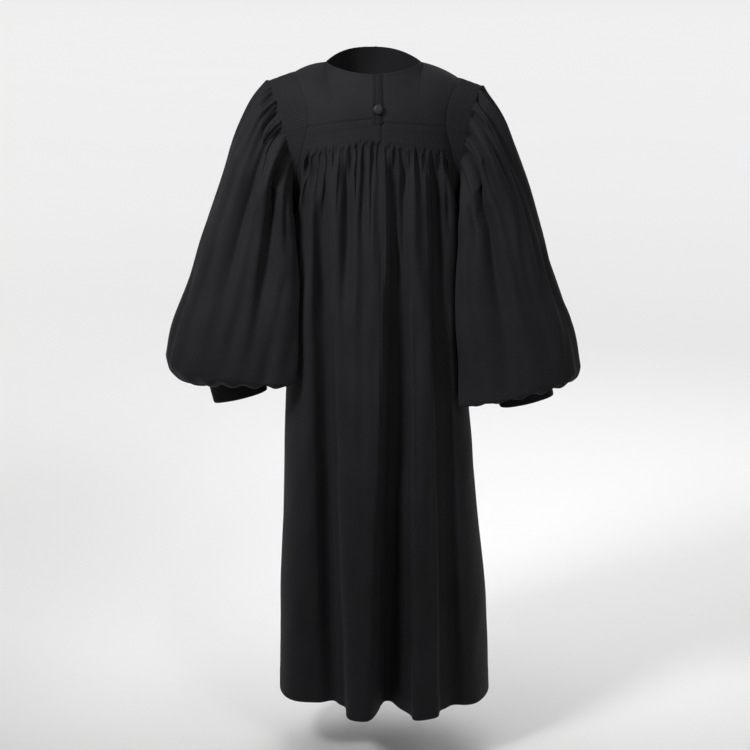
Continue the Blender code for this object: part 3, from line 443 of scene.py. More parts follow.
SLEEVE_CREASES = {
    LEFT: [
        Crease(0.195, 0.205, 0.09, 0.85, 0.016, 0.0130),
        Crease(0.285, 0.300, 0.10, 1.05, 0.016, 0.0140),
        Crease(0.100, 0.075, 0.25, 1.30, 0.018, -0.0090),
        Crease(0.125, 0.120, 0.20, 1.20, 0.014, 0.0080),
        Crease(0.050, 0.052, 0.09, 0.50, 0.012, 0.0055),
        Crease(0.100, 0.105, 0.09, 0.30, 0.008, 0.0045),
        Crease(0.130, 0.140, 0.10, 0.52, 0.009, 0.0055),
        Crease(0.215, 0.235, 0.10, 0.46, 0.008, 0.0060),
        Crease(0.250, 0.265, 0.10, 0.38, 0.007, 0.0045),
        Crease(0.330, 0.360, 0.10, 0.60, 0.010, 0.0050),
        Crease(0.395, 0.400, 0.12, 0.80, 0.012, 0.0045),
        Crease(0.030, 0.110, 0.55, 1.10, 0.014, 0.0040),
        Crease(0.130, 0.170, 0.60, 1.15, 0.016, 0.0035),
        Crease(0.250, 0.240, 0.50, 1.12, 0.018, 0.0045),
        Crease(0.360, 0.330, 0.62, 1.15, 0.014, 0.0040),
        Crease(0.600, 0.610, 0.12, 0.70, 0.012, 0.0050),
        Crease(0.700, 0.705, 0.10, 0.50, 0.010, 0.0055),
        Crease(0.800, 0.810, 0.10, 0.62, 0.011, 0.0055),
        Crease(0.900, 0.915, 0.10, 0.46, 0.010, 0.0050),
        Crease(0.940, 0.960, 0.10, 0.80, 0.012, 0.0045),
    ],
    RIGHT: [
        Crease(0.270, 0.265, 0.09, 1.00, 0.020, 0.0170),
        Crease(0.355, 0.365, 0.15, 0.95, 0.020, -0.0070),
        Crease(0.195, 0.185, 0.15, 0.90, 0.016, -0.0060),
        Crease(0.130, 0.120, 0.12, 0.85, 0.014, 0.0080),
        Crease(0.045, 0.040, 0.09, 0.45, 0.010, 0.0050),
        Crease(0.120, 0.130, 0.09, 0.34, 0.008, 0.0045),
        Crease(0.150, 0.160, 0.10, 0.62, 0.010, 0.0055),
        Crease(0.245, 0.240, 0.10, 0.50, 0.008, 0.0055),
        Crease(0.330, 0.320, 0.10, 0.62, 0.009, 0.0055),
        Crease(0.380, 0.400, 0.12, 0.75, 0.012, 0.0045),
        Crease(0.060, 0.130, 0.60, 1.12, 0.015, 0.0038),
        Crease(0.180, 0.150, 0.55, 1.10, 0.016, 0.0040),
        Crease(0.250, 0.230, 0.62, 1.15, 0.016, 0.0042),
        Crease(0.350, 0.340, 0.50, 1.12, 0.015, 0.0042),
        Crease(0.600, 0.610, 0.12, 0.70, 0.012, 0.0050),
        Crease(0.690, 0.700, 0.10, 0.52, 0.010, 0.0055),
        Crease(0.800, 0.810, 0.10, 0.60, 0.011, 0.0055),
        Crease(0.910, 0.920, 0.10, 0.48, 0.010, 0.0050),
        Crease(0.950, 0.960, 0.10, 0.80, 0.012, 0.0045),
    ],
}

# How a placed crease rises and fades along its length, and how its width starts and grows
BODY_CREASE_FADE = ((0.0, 0.16), (0.45, 1.0))
BODY_CREASE_WIDTH = (0.8, 0.5)
SLEEVE_CREASE_FADE = ((0.0, 0.14), (0.5, 1.0))
SLEEVE_CREASE_WIDTH = (1.0, 0.0)

# Small creases strewn from a seeded table: how many, across what width, where they start, and the
# ranges of their lengths, half widths and depths
Strewn = namedtuple("Strewn", "seed count spread top reach half_width depth")
BAND_CREASES = Strewn(
    11, 38, (-0.150, 0.150), BAND_HEIGHT - 0.003, (0.03, 0.13), (0.0018, 0.0036), (0.0016, 0.0046)
)
HEAD_CREASES = Strewn(
    31, 40, (-0.33, 0.33), 0.098, (0.07, 0.26), (0.0028, 0.0055), (0.0012, 0.0034)
)
CUFF_PUCKERS = Strewn(
    51, 46, (-0.5, 0.5), 0.006, (0.25, 0.80), (0.0030, 0.0060), (0.0010, 0.0024)
)

# How each strewn crease differs: the scatter of its place, the range of its start, its lean, the
# distance in which it rises, and the share of its length after which it fades
CREASE_SCATTER = 0.25
CREASE_START = (-0.006, 0.008)
CREASE_LEAN = 0.05
CREASE_RISE = (0.0, 0.010)
CREASE_HOLD = 0.35
PUCKERS_FADE = (1.97, 2.0)

# The relief of a shirred band: the levels and half width of its rows of gathering stitches, the
# ranges over which it rises and fades, and the drift of its flutes, as radians, waves across and
# waves down
Shirring = namedtuple("Shirring", "rows row_width fade drift")
BODY_SHIRRING = Shirring(
    (0.005, 0.018, 0.031, 0.043), 0.0012, ((0.0015, 0.006), (0.040, 0.050)), (0.35, 5.0, 18.0)
)
SLEEVE_SHIRRING = Shirring(
    (0.012, 0.040, 0.068, 0.096), 0.0028, ((0.004, 0.014), (0.094, 0.112)), (0.5, 7.0, 9.0)
)
ROW_DEPTH = 0.0004

# How far towards the outer line a sleeve's head gets its flutes and its gathers
HEAD_FLUTES_FROM = (0.25, 0.60)
HEAD_GATHERS_FROM = (-0.75, 0.35)

# The body's gathers differ in height by a slow wave, as its size, waves across and start, and
# in place by another, as radians and waves across
GATHER_UNEVENNESS = (0.25, 3.3, 0.15)
GATHER_DRIFT = (0.9, 1.7)

# The cloth's slow waves: their lengths across and down, their lean, the first number of the seed
# on each piece, and where they rise and fade. A sleeve's length is in metres for them.
WAVES = ((0.11, 0.9), (0.067, 0.55), (0.043, 0.34))
WAVE_LEAN = 0.25
BODY_WAVES_SEED = 5
SLEEVE_WAVES_SEED = 41
YOKE_WAVES_SEED = 61
BODY_WAVES_RISE = (0.10, 0.35)
SLEEVE_WAVES_FADE = ((0.25, 0.5), (1.3, 1.9))
SLEEVE_LENGTH = 0.7

# The turned-up hem's step and the depth and half width of its line of stitches
HEM_STEP = 0.0004
HEM_STEP_RANGE = (-0.001, 0.001)
HEM_STITCH_LINE = (0.0005, 0.0016)

# Cloths: the user's colour, the roughness, the sheen, the spacing of the threads and the depth
# of the weave
Cloth = namedtuple("Cloth", "colour roughness sheen thread depth")
CLOTHS = {
    "robe_cloth": Cloth("robe_cloth", 0.82, 0.03, 0.00045, 0.00008),
    # The inner face's colour is lighter than the outer cloth's: painted light that brightens the
    # shaded inner faces, most of all inside the neck.
    "robe_inside": Cloth("inside", 0.88, 0.03, 0.00045, 0.00006),
    "yoke_cloth": Cloth("yoke_cloth", 0.80, 0.04, 0.00045, 0.00008),
    # The strap's colour is darker than the yoke cloth's: painted shade for the dark bands along the
    # strap's edges.
    "strap_cloth": Cloth("strap", 0.80, 0.02, 0.00045, 0.00008),
    "button_cloth": Cloth("button", 0.42, 0.02, 0.00045, 0.00006),
    "thread": Cloth("thread", 0.60, 0.03, 0.00020, 0.00003),
}
MOTTLE = 0.22

# Lights: place, target, size and spread in degrees. The user's settings hold their powers.
Light = namedtuple("Light", "place target size spread")
LIGHTS = {
    "key": Light((-1.45, -1.5, 1.05), (-0.12, 0.0, -0.30), 0.6, 52.0),
    "fill": Light((1.3, -2.6, 1.2), (0.06, 0.0, -0.20), 1.2, 46.0),
    "top": Light((0.0, -0.7, 2.2), (0.0, 0.0, -0.1), 1.1, 60.0),
    "floor": Light((0.0, 30.2, 1.8), (0.0, 30.19, -1.5), 60.0, 180.0),
    "back": Light((0.9, 2.6, 1.3), (0.0, 0.0, -0.3), 1.6, 180.0),
}


# Curves and tables

def smoothstep(low, high, value):
    """0 below low, 1 above high, and an S curve between."""
    share = np.clip((value - low) / (high - low), 0.0, 1.0)
    return share * share * (3.0 - 2.0 * share)


def through(knots, values, at):
    """A smooth curve through the values at the knots: cubic, with the slopes of the neighbours."""
    knots, values = np.asarray(knots, float), np.asarray(values, float)
    if knots[0] > knots[-1]:
        knots, values = knots[::-1], values[::-1]
    slopes = np.gradient(values, knots)
    at = np.clip(np.asarray(at, float), knots[0], knots[-1])
    i = np.clip(np.searchsorted(knots, at) - 1, 0, len(knots) - 2)
    span = knots[i + 1] - knots[i]
    s = (at - knots[i]) / span
    return (
        values[i] * (1 + 2 * s) * (1 - s) ** 2
        + slopes[i] * span * s * (1 - s) ** 2
        + values[i + 1] * s * s * (3 - 2 * s)
        + slopes[i + 1] * span * s * s * (s - 1)
    )


def column(rows, key, name, at):
    """One named column of a table, read smoothly at values of its key column."""
    return through([getattr(r, key) for r in rows], [getattr(r, name) for r in rows], at)


def rise_and_fade(value, rise, fade):
    """0, an S curve up to 1 between the two ends of rise, and one back to 0 between fade's."""
    return smoothstep(*rise, value) * (1.0 - smoothstep(*fade, value))


def bell(distance, width=1.0):
    """A bell curve: e to the power of minus the square of distance over width."""
    return np.exp(-((distance / width) ** 2))


def signed_power(value, power):
    """The value's size to a power, with the value's own sign."""
    return np.sign(value) * np.abs(value) ** power


def unit(vectors):
    """Vectors divided by their own lengths."""
    return vectors / np.linalg.norm(vectors, axis=-1, keepdims=True)


def step_lengths(points, axis):
    """Distances between neighbouring places of a grid along one axis."""
    return np.linalg.norm(np.diff(points, axis=axis), axis=-1)


def run_along(points, axis):
    """How far each place of a grid is from the first along one axis: the sum of the steps."""
    steps = step_lengths(points, axis)
    start = np.zeros_like(np.take(steps, [0], axis=axis))
    return np.concatenate([start, np.cumsum(steps, axis=axis)], axis=axis)


def run_of(points):
    """How far along each row of a grid its points are, as shares of that row's length."""
    run = run_along(points, points.ndim - 2)
    return run / run[..., -1:]


def along_rows(at, knots, values):
    """Straight-line reading of each row of a table at its own places, all between 0 and 1. The
    rows are laid end to end, two apart, and read as one line."""
    row = 2.0 * np.arange(len(knots))[:, None]
    shape = np.broadcast_shapes(at.shape, (len(knots), 1))
    at = np.broadcast_to(at, shape)
    values = np.broadcast_to(values, knots.shape)
    return np.interp((at + row).ravel(), (knots + row).ravel(), values.ravel()).reshape(shape)


# Shape of the body. Every surface here is a grid: rows go down the piece, columns go across it.

def body_at(z):
    """The body's half width, half depth, squareness and middle at a height."""
    names = ("half_width", "half_depth", "squareness", "centre_x")
    return [column(BODY_SECTIONS, "z", name, z) for name in names]


def body_section(theta, z, side):
    """The body's rounded section, |x/a|^n + |y/b|^n = 1, with a, b and n read from the table at
    each level. theta is 0 at the centre line and a quarter turn at each side seam."""
    half_width, half_depth, n, middle = body_at(z)
    x = signed_power(np.sin(theta), 2.0 / n)
    y = side * np.abs(np.cos(theta)) ** (2.0 / n)
    slopes = [signed_power(x, n - 1) / half_width, signed_power(y, n - 1) / half_depth, 0 * x]
    points = np.stack([middle + half_width * x, half_depth * y, 0 * x + z], axis=-1)
    return points, unit(np.stack(slopes, axis=-1))


def seam_line(x, side, hand):
    """Height of the yoke's lower seam, which sinks by a power of the distance from the centre."""
    level, sink, power = SEAM_LINES[side, hand]
    return level - sink * (np.abs(x) / YOKE_CORNER_X) ** power


def row_height(x, side, hand, fall):
    """Height of the cloth that lies a nominal fall below the yoke's seam. The seam's slope and
    the band's dip towards the sides die out further down."""
    keep = 1.0 - smoothstep(BAND_HEIGHT, LEVEL_OUT, fall)
    slope = seam_line(x, side, hand) - SEAM_LEVEL
    in_band = np.minimum(fall / BAND_HEIGHT, 1.0)
    dip = BAND_DIP * (1.0 - 2.0 * np.abs(x) / YOKE_CORNER_X) * in_band
    return SEAM_LEVEL - fall + keep * (slope + dip)


def armhole_angle(fall):
    """The section's angle at the panel's side edge: on the armhole, then at the side seam."""
    share = np.clip(fall / ARMHOLE_FALL, 0.0, 1.0)
    grown = 1.0 - (1.0 - share) ** ARMHOLE_POWER
    out = ARMHOLE_CORNER_SHARE + (1.0 - ARMHOLE_CORNER_SHARE) * grown
    n = column(BODY_SECTIONS, "z", "squareness", SEAM_LEVEL - fall)
    return np.arcsin(np.minimum(1.0, out ** (n / 2.0)))


def fold_depth(x, z, side):
    """How far the long folds press the cloth in: a flat trough with soft tanh sides each."""
    total = np.zeros_like(x)
    for fold in BODY_FOLDS[side]:
        centre, half, depth = (
            through(FOLD_LEVELS, values, z)
            for values in (fold.centre_x, fold.half_width, fold.depth)
        )
        out = (x - centre) / half
        near, far = (np.tanh((out + k) / fold.softness) for k in (1, -1))
        total += depth * 0.5 * (near - far)
    return total


def gather_height(gather, at):
    """The depth of a set of gathers where it has risen and hasn't faded."""
    return gather.depth * rise_and_fade(at, gather.rise, gather.fade)


def gather_rise(share, fall, side):
    """How far the gathers stand out: cosine waves across the cloth, fine ones under the band and
    then ones of twice the width, made uneven in height and place by slow sine waves."""
    below = fall - BAND_HEIGHT
    edge = smoothstep(0.0, PLAIN_EDGE, share) * smoothstep(0.0, PLAIN_EDGE, 1.0 - share)
    if side == FRONT:
        edge = edge * smoothstep(*PLAIN_CENTRE, np.abs(share - 0.5))
    turns = TURN * BODY_GATHERS * share
    size, waves, start = GATHER_UNEVENNESS
    uneven = 1.0 - size + size * np.sin(TURN * (waves * share + start))
    amount, waves = GATHER_DRIFT
    drift = amount * np.sin(TURN * waves * share)
    fine = gather_height(FINE_GATHER, below) * np.cos(turns)
    wide = gather_height(WIDE_GATHER, below) * np.cos(turns / 2.0 + drift)
    return edge * uneven * (fine + wide)


def half_run(edge, z):
    """The length of the section from the centre line to an angle, without its folds."""
    points = body_section(edge * np.linspace(0.0, 1.0, 60), z, BACK)[0]
    return np.sum(step_lengths(points, -2), axis=-1, keepdims=True)


BAND_LEVEL = np.array([[BAND_HEIGHT]])
BAND_HALF_RUN = float(half_run(armhole_angle(BAND_LEVEL), SEAM_LEVEL - BAND_LEVEL)[0, 0])


def panel_surface(side, hand, share, fall):
    """The back or front cloth. The share runs from the left side, 0, to the right, 1, and the
    fall goes down from the yoke's seam. Columns hang straight down from the band and lower down
    spread evenly by the cloth's own length; folds press in and gathers stand out along the
    section's normals."""
    z = SEAM_LEVEL - fall
    edge = armhole_angle(fall)

    def pressed(theta):
        points, normals = body_section(theta, z, side)
        inward = fold_depth(points[..., 0], z, side) * np.abs(normals[..., 1])
        return points - normals * inward[..., None], normals

    dense = edge * np.linspace(-1.0, 1.0, DENSE)
    out = 2.0 * share - 1.0
    kept = (1.0 - smoothstep(*SPREAD_OUT, fall)) * (1.0 - BAND_HALF_RUN / half_run(edge, z))
    even = 0.5 + 0.5 * ((1.0 - kept) * out + kept * out**3)
    theta = along_rows(even, run_of(pressed(dense)[0]), dense)
    points, normals = pressed(theta)
    points += normals * gather_rise(share, fall, side)[..., None]
    points[..., 2] = row_height(points[..., 0], side, hand, fall)
    return points


def centre_x(side):
    """Where the back's centre seam lies, or the front's closing."""
    return CENTRE_BACK_X if side == BACK else 0.0


def centre_share(side, fall):
    """The share at which the centre seam lies, in each row. Widths are moved by 0.5 m, because
    along_rows reads between 0 and 1."""
    shares = np.linspace(0.3, 0.7, 401)
    x = panel_surface(side, LEFT, shares, fall)[..., 0]
    return along_rows(np.full(fall.shape, centre_x(side) + 0.5), x + 0.5, shares)


# Shape of the yoke

def neck_point(turn, side):
    """The neck opening's edge. turn is 0 at the centre line and 1 at the side of the neck."""
    angle = np.clip(np.abs(turn), 0, 1) * math.pi / 2.0
    across, along = np.sin(angle), np.cos(angle)
    x = NECK_CENTRE_X + np.sign(turn) * NECK_HALF_WIDTH * across
    if side == BACK:
        z = -NECK_BACK_DROP * (1.0 - across**2)
    else:
        power = np.where(turn < 0.0, NECK_FRONT_POWER[LEFT], NECK_FRONT_POWER[RIGHT])
        z = NECK_FRONT_RISE * (1.0 - across**power)
        along = along + FRONT_POINT * (1.0 - np.clip(np.abs(turn), 0, 1)) ** 2
    return np.stack([x, side * NECK_HALF_DEPTH * along, z], axis=-1)


def yoke_top(across, side, hand):
    """The yoke's upper edge: the neck, then the shoulder seam. across is -1 to 1."""
    neck = neck_point(across / NECK_SHARE, side)
    out = np.clip((np.abs(across) - NECK_SHARE) / (1.0 - NECK_SHARE), 0.0, 1.0)
    start = neck_point(np.array([float(hand)]), side)[0]
    end = np.array([hand * SHOULDER_X, 0.0, -SHOULDER_DROP[hand]])
    shoulder = start + out[:, None] * (end - start)
    shoulder[:, 2] += SHOULDER_CROWN * np.sin(math.pi * out)
    return np.where((np.abs(across) <= NECK_SHARE)[:, None], neck, shoulder)


def yoke_surface(side, hand, across, up):
    """The yoke, from up 0 on its lower seam to 1 on the neck and shoulder seam. Each column is a
    cubic curve that rises from the back or chest and rolls over the shoulder."""
    x = across * YOKE_CORNER_X
    half_width, _, n, _ = body_at(SEAM_LEVEL)
    theta = np.arcsin(signed_power(x / half_width, n / 2.0))
    low = body_section(theta, SEAM_LEVEL, side)[0]
    low[:, 2] = seam_line(low[:, 0], side, hand) + SEAM_GAP
    top = yoke_top(across, side, hand)
    rise, at_neck, at_shoulder = (
        np.array([0.0, -side * inwards, upwards])
        for inwards, upwards in (SEAM_SLOPE, NECK_SLOPE, SHOULDER_SLOPE)
    )
    roll = smoothstep(*ROLL_OUT, np.abs(across))[:, None]
    handle = YOKE_HANDLE * np.linalg.norm(top - low, axis=1)[:, None]
    second = low + handle * unit(rise)
    third = top - handle * unit((1.0 - roll) * at_neck + roll * at_shoulder)
    up = np.asarray(up)[..., None]
    down = 1 - up
    return down**3 * low + 3 * down**2 * up * second + 3 * down * up**2 * third + up**3 * top


# Shape of the sleeves and cuffs

def armhole_line(hand):
    """The armhole's edge, closed, from the shoulder down the back, round the underarm and up
    the front, with how far round each of its points is."""
    ups = np.linspace(1.0, 0.0, 60)[:, None]
    falls = np.linspace(0.0, ARMHOLE_FALL, 120)[:, None]
    edge_share = np.array([[0.0 if hand == LEFT else 1.0]])
    halves = {}
    for side in (BACK, FRONT):
        yoke = yoke_surface(side, hand, np.array([float(hand)]), ups)[:-1, 0]
        panel = panel_surface(side, hand, edge_share, falls)[:, 0]
        halves[side] = np.concatenate([yoke, panel])
    line = np.concatenate([halves[BACK], halves[FRONT][::-1][1:]])
    return line, run_of(line)


ARMHOLES = {hand: armhole_line(hand) for hand in (LEFT, RIGHT)}


def armhole_points(hand, place):
    """Points of the armhole's edge at places round it, from 0 to 1."""
    line, run = ARMHOLES[hand]
    return np.stack([np.interp(place, run, line[:, k]) for k in range(3)], axis=-1)


def towards_outer(place):
    """1 on the sleeve's outer line, 0 on its inner line, and a cosine between."""
    return 0.5 + 0.5 * np.cos(TURN * place)


def band_reach(hand, place, share):
    """How far the shirred band carries the cloth out from the armhole, as vectors."""
    over = towards_outer(place)
    grown = LEAST_BAND + (1.0 - LEAST_BAND) * smoothstep(*BAND_GROWTH, over)
    sink = -BAND_SINK - BAND_TOP_SINK * over**2
    lean = BAND_LEAN * np.sin(TURN * place)
    way = unit(np.stack([hand * np.ones_like(place), lean, sink], axis=-1))
    return (SLEEVE_BAND[hand] * grown * share)[..., None] * way + [hand * SEAM_GAP, 0.0, 0.0]


def clear_of_body(points, hand):
    """Moves points out sideways until they clear the body's section by BODY_CLEARANCE, with a
    soft greater-of: half the sum of both distances and the root of their difference squared."""
    half_width, half_depth, n, middle = body_at(points[..., 2])
    inside = np.clip(1.0 - (np.abs(points[..., 1]) / half_depth) ** n, 0.0, 1.0)
    least = hand * middle + half_width * inside ** (1.0 / n) + BODY_CLEARANCE
    out = hand * points[..., 0]
    apart = np.sqrt((out - least) ** 2 + CLEARANCE_SOFTNESS**2)
    moved = points.copy()
    moved[..., 0] = hand * 0.5 * (out + least + apart)
    return moved


def section_ring(hand, share, angle):
    """A sleeve's own rounded sections, one for each share of its length: each goes round as the
    cosine and sine of the angle, raised to 2 over the squareness."""
    outer_x, outer_z, inner_x, inner_z, half_depth, centre_y = (
        column(SLEEVE_SECTIONS[hand], "share", name, share) for name in SleeveSection._fields[1:]
    )
    over = signed_power(np.cos(angle), 2.0 / SLEEVE_SQUARENESS)
    back = signed_power(np.sin(angle), 2.0 / SLEEVE_SQUARENESS)
    inner_x = inner_x + FRONT_EASE * smoothstep(*FRONT_EASE_RANGE, -back)
    x = hand * ((outer_x + inner_x) / 2.0 + (outer_x - inner_x) / 2.0 * over)
    z = (outer_z + inner_z) / 2.0 + (outer_z - inner_z) / 2.0 * over
    return np.stack([x, centre_y - half_depth * back, z], axis=-1)


def cuff_ring(hand, place, down):
    """The cuff's ellipse, down metres below its top edge, tilted with the forearm."""
    cuff = CUFFS[hand]
    angle = TURN * place
    across = hand * CUFF_HALF_WIDTH * np.cos(angle)
    x = hand * cuff.centre_x + across + CUFF_TILT * down
    y = CUFF_CENTRE_Y - CUFF_HALF_DEPTH * np.sin(angle)
    return np.stack([x, y + 0.0 * x, cuff.top_z - down + CUFF_TILT * across], axis=-1)


def sleeve_base(hand, share, place):
    """The sleeve without its folds. From share 0 to 1 it runs from the armhole to the lip, as a
    blend of the band's line and the sections, and from 1 to 2 it turns under and in to the
    cuff's top edge, in powers of the share."""
    place = np.mod(place + 0.0 * share, 1.0)
    upper = np.minimum(share, 1.0)
    turn = TURN * np.linspace(0.0, 1.0, DENSE + 1)
    dense = clear_of_body(section_ring(hand, upper, turn), hand)
    run = run_of(dense)
    ring = np.stack([along_rows(place, run, dense[..., k]) for k in range(3)], axis=-1)
    in_band = np.minimum(upper / SLEEVE_BAND_SHARE, 1.0)
    start = armhole_points(hand, place) + band_reach(hand, place, in_band)
    length = ARMHOLE_BLEND - OUTER_BLEND * towards_outer(place)
    blend = smoothstep(0.0, 1.0, (upper - SLEEVE_BAND_SHARE) / length)[..., None]
    sleeve = (1.0 - blend) * start + blend * ring
    under = np.clip(share - 1.0, 0.0, 1.0)
    cuff = cuff_ring(hand, place, -SEAM_GAP)
    low = cuff + (1.0 - under**LIP_PLAN_POWER)[..., None] * (sleeve - cuff)
    low[..., 2] = (1 - under) * sleeve[..., 2] + under * cuff[..., 2]
    low[..., 2] -= LIP_SAG * np.sin(math.pi * under) ** LIP_SAG_POWER
    return np.where((share > 1.0)[..., None], low, sleeve)


def round_distance(place, centre):
    """The shorter way round between two places."""
    return np.mod(place - centre + 0.5, 1.0) - 0.5


def sleeve_relief(hand, share, place):
    """How far gathers and folds move the sleeve's cloth in or out: cosine waves round the head
    and over the cuff, and a bell-shaped trough for each long fold."""
    turns = TURN * place
    free = smoothstep(*HEAD_GATHERS_FROM, np.cos(turns))
    relief = gather_height(HEAD_GATHER, share) * free * np.cos(SLEEVE_GATHERS * turns)
    relief = relief + gather_height(CUFF_GATHER, share) * np.cos(CUFF_GATHERS * turns)
    folds = 0.0 * relief
    for fold in SLEEVE_FOLDS[hand]:
        centre = through(SLEEVE_FOLD_SHARES, fold.place, share)
        depth = through(SLEEVE_FOLD_SHARES, fold.depth, share)
        folds = folds - depth * bell(round_distance(place, centre), fold.half_width)
    return relief + folds * (1.0 - smoothstep(*SLEEVE_FOLD_FADE, share))


def sleeve_surface(hand, share, place):
    """The sleeve with its gathers and folds along the normals of its plain form, the cross
    product of its slopes round it and down it."""
    share = np.clip(share, 0.0, 2.0)
    before, after = (sleeve_base(hand, share, place + k * SLOPE_STEP) for k in (-1, 1))
    low = np.maximum(share - SLOPE_STEP, 0.0)
    high = np.maximum(np.minimum(share + SLOPE_STEP, 2.0), SLOPE_LEAST_SHARE)
    down_way = sleeve_base(hand, high, place) - sleeve_base(hand, low, place)
    normals = unit(np.cross(after - before, down_way)) * hand
    return sleeve_base(hand, share, place) + normals * sleeve_relief(hand, share, place)[..., None]


# Fine relief

def strewn_creases(at, down, kind, variant):
    """Small uneven troughs that start near one level. Each has its own place, length, lean,
    width and depth from a seeded table, and fades along its length."""
    table = np.random.default_rng(kind.seed + variant)
    low, high = kind.spread
    centres = np.linspace(low, high, kind.count)
    centres = centres + table.normal(0.0, CREASE_SCATTER, kind.count) * ((high - low) / kind.count)
    total = 0.0 * (at + down)
    for centre in centres:
        start = kind.top + table.uniform(*CREASE_START)
        long = table.uniform(*kind.reach)
        lean = table.normal(0.0, CREASE_LEAN)
        wide = table.uniform(*kind.half_width)
        deep = table.uniform(*kind.depth)
        below = down - start
        fade = rise_and_fade(below, CREASE_RISE, (CREASE_HOLD * long, long))
        width = wide * (1.0 + below / long)
        total = total + deep * fade * bell(at - centre - lean * below, width)
    return total


def placed_creases(at, down, creases, fade, widths, distance):
    """Soft troughs placed one by one: bell curves about straight lines from their tops to their low
    ends. Each fades in over its first part and out over its last, and widens evenly."""
    total = 0.0 * (at + down)
    for crease in creases:
        share = (down - crease.top) / (crease.low - crease.top)
        centre = crease.top_at + (crease.low_at - crease.top_at) * share
        width = crease.half_width * (widths[0] + widths[1] * np.clip(share, 0.0, 1.0))
        depth = crease.depth * rise_and_fade(share, *fade)
        total = total + depth * bell(distance(at, centre), width)
    return total


def soft_waves(across, down, seed, height):
    """A slow unevenness of the cloth: a few long sine waves that lean and drift."""
    table = np.random.default_rng(seed)
    total = 0.0 * (across + down)
    for long, tall in WAVES:
        phase = TURN * table.random(2)
        lean = table.uniform(-WAVE_LEAN, WAVE_LEAN)
        wave = np.sin(TURN * (across + lean * down) / long + phase[0])
        total = total + wave * (0.5 + 0.5 * np.sin(TURN * down / tall + phase[1]))
    return height * total / 2.0


def shirred(kind, sizes, flutes, place, down):
    """The relief of a shirred band: flutes as cosine waves across it, with a phase that drifts as
    a slow sine wave, and a bell-shaped trough for each row of gathering stitches."""
    amount, across, along = kind.drift
    drift = amount * np.sin(TURN * (across * place + along * down))
    rows = sum(bell(down - level, kind.row_width) for level in kind.rows)
    relief = sizes.flute_depth * np.cos(TURN * flutes * place + drift) - ROW_DEPTH * rows
    return rise_and_fade(down, *kind.fade) * relief


def panel_relief(sizes, side, share, fall, x):
    """Flutes and gathering rows on the band, uneven gathers below it, then soft creases, and the
    step of the turned-up hem."""
    plain = smoothstep(*PLAIN_CLOSING, np.abs(x)) if side == FRONT else 1.0
    relief = plain * shirred(BODY_SHIRRING, sizes, sizes.body_flutes, share, fall)
    relief = relief - plain * strewn_creases(x, fall, BAND_CREASES, side)
    relief = relief - plain * placed_creases(
        x, fall, BODY_CREASES[side], BODY_CREASE_FADE, BODY_CREASE_WIDTH, np.subtract
    )
    waves = soft_waves(x, fall, BODY_WAVES_SEED + side, sizes.wave_height)
    relief = relief + smoothstep(*BODY_WAVES_RISE, fall) * waves
    hem_line = fall - (BODY_FALL - HEM_HEIGHT)
    depth, width = HEM_STITCH_LINE
    hem = HEM_STEP * smoothstep(*HEM_STEP_RANGE, hem_line)
    return relief + hem - depth * bell(hem_line, width)


def sleeve_fine_relief(sizes, hand, share, place, girth):
    """Flutes and gathering rows on the sleeve's head, uneven gathers under them, soft creases
    down the sleeve, and small puckers at the cuff."""
    head = smoothstep(*HEAD_FLUTES_FROM, towards_outer(place))
    relief = head * shirred(SLEEVE_SHIRRING, sizes, sizes.sleeve_flutes, place, share)
    signed = round_distance(place, 0.0)
    relief = relief - head * strewn_creases(signed, share, HEAD_CREASES, hand)
    relief = relief - placed_creases(
        place, share, SLEEVE_CREASES[hand], SLEEVE_CREASE_FADE, SLEEVE_CREASE_WIDTH,
        round_distance,
    )
    seed = SLEEVE_WAVES_SEED + hand
    waves = soft_waves(girth, share * SLEEVE_LENGTH, seed, sizes.wave_height)
    relief = relief + waves * rise_and_fade(share, *SLEEVE_WAVES_FADE)
    puckers = strewn_creases(signed, 2.0 - share, CUFF_PUCKERS, hand)
    return relief - puckers * (1.0 - smoothstep(*PUCKERS_FADE, share))


# Meshes

def grid_normals(points, out, around=False):
    """Normals of a grid: the cross product of its slopes along the rows and down them."""
    if around:
        across = np.roll(points, -1, axis=1) - np.roll(points, 1, axis=1)
    else:
        across = np.gradient(points, axis=1)
    down = np.gradient(points, axis=0)
    return unit(np.cross(across, down)) * out


def cloth_uv(points, around=False):
    """Lengths of cloth across and down each place of a grid, in metres, for the weave."""
    closed = np.concatenate([points, points[:, :1]], axis=1) if around else points
    return np.stack([run_along(closed, 1), run_along(closed, 0)], axis=-1)


def new_mesh(name, points, faces, uvs, materials, slots=None, sharp=SHARP_ANGLE):
    """A mesh from points, a list of face arrays that each have one corner count, and the UV of
    every corner in the same order."""
    counts = np.concatenate([np.full(len(f), f.shape[1]) for f in faces])
    corners = np.concatenate([f.ravel() for f in faces])
    mesh = bpy.data.meshes.new(name)
    mesh.vertices.add(len(points))
    mesh.vertices.foreach_set("co", np.ascontiguousarray(points, np.float32).ravel())
    mesh.loops.add(len(corners))
    mesh.loops.foreach_set("vertex_index", corners.astype(np.int32))
    mesh.polygons.add(len(counts))
    starts = np.concatenate([[0], np.cumsum(counts)[:-1]])
    mesh.polygons.foreach_set("loop_start", starts.astype(np.int32))
    for material in materials:
        mesh.materials.append(material)
    if slots is not None:
        mesh.polygons.foreach_set("material_index", slots.astype(np.int32))
    layer = mesh.uv_layers.new(name="Cloth")
    layer.data.foreach_set("uv", np.ascontiguousarray(uvs, np.float32).ravel())
    mesh.update(calc_edges=True)
    mesh.validate()
    mesh.shade_smooth()
    mesh.set_sharp_from_angle(angle=math.radians(sharp))
    piece = bpy.data.objects.new(name, mesh)
    bpy.context.scene.collection.objects.link(piece)
    return piece


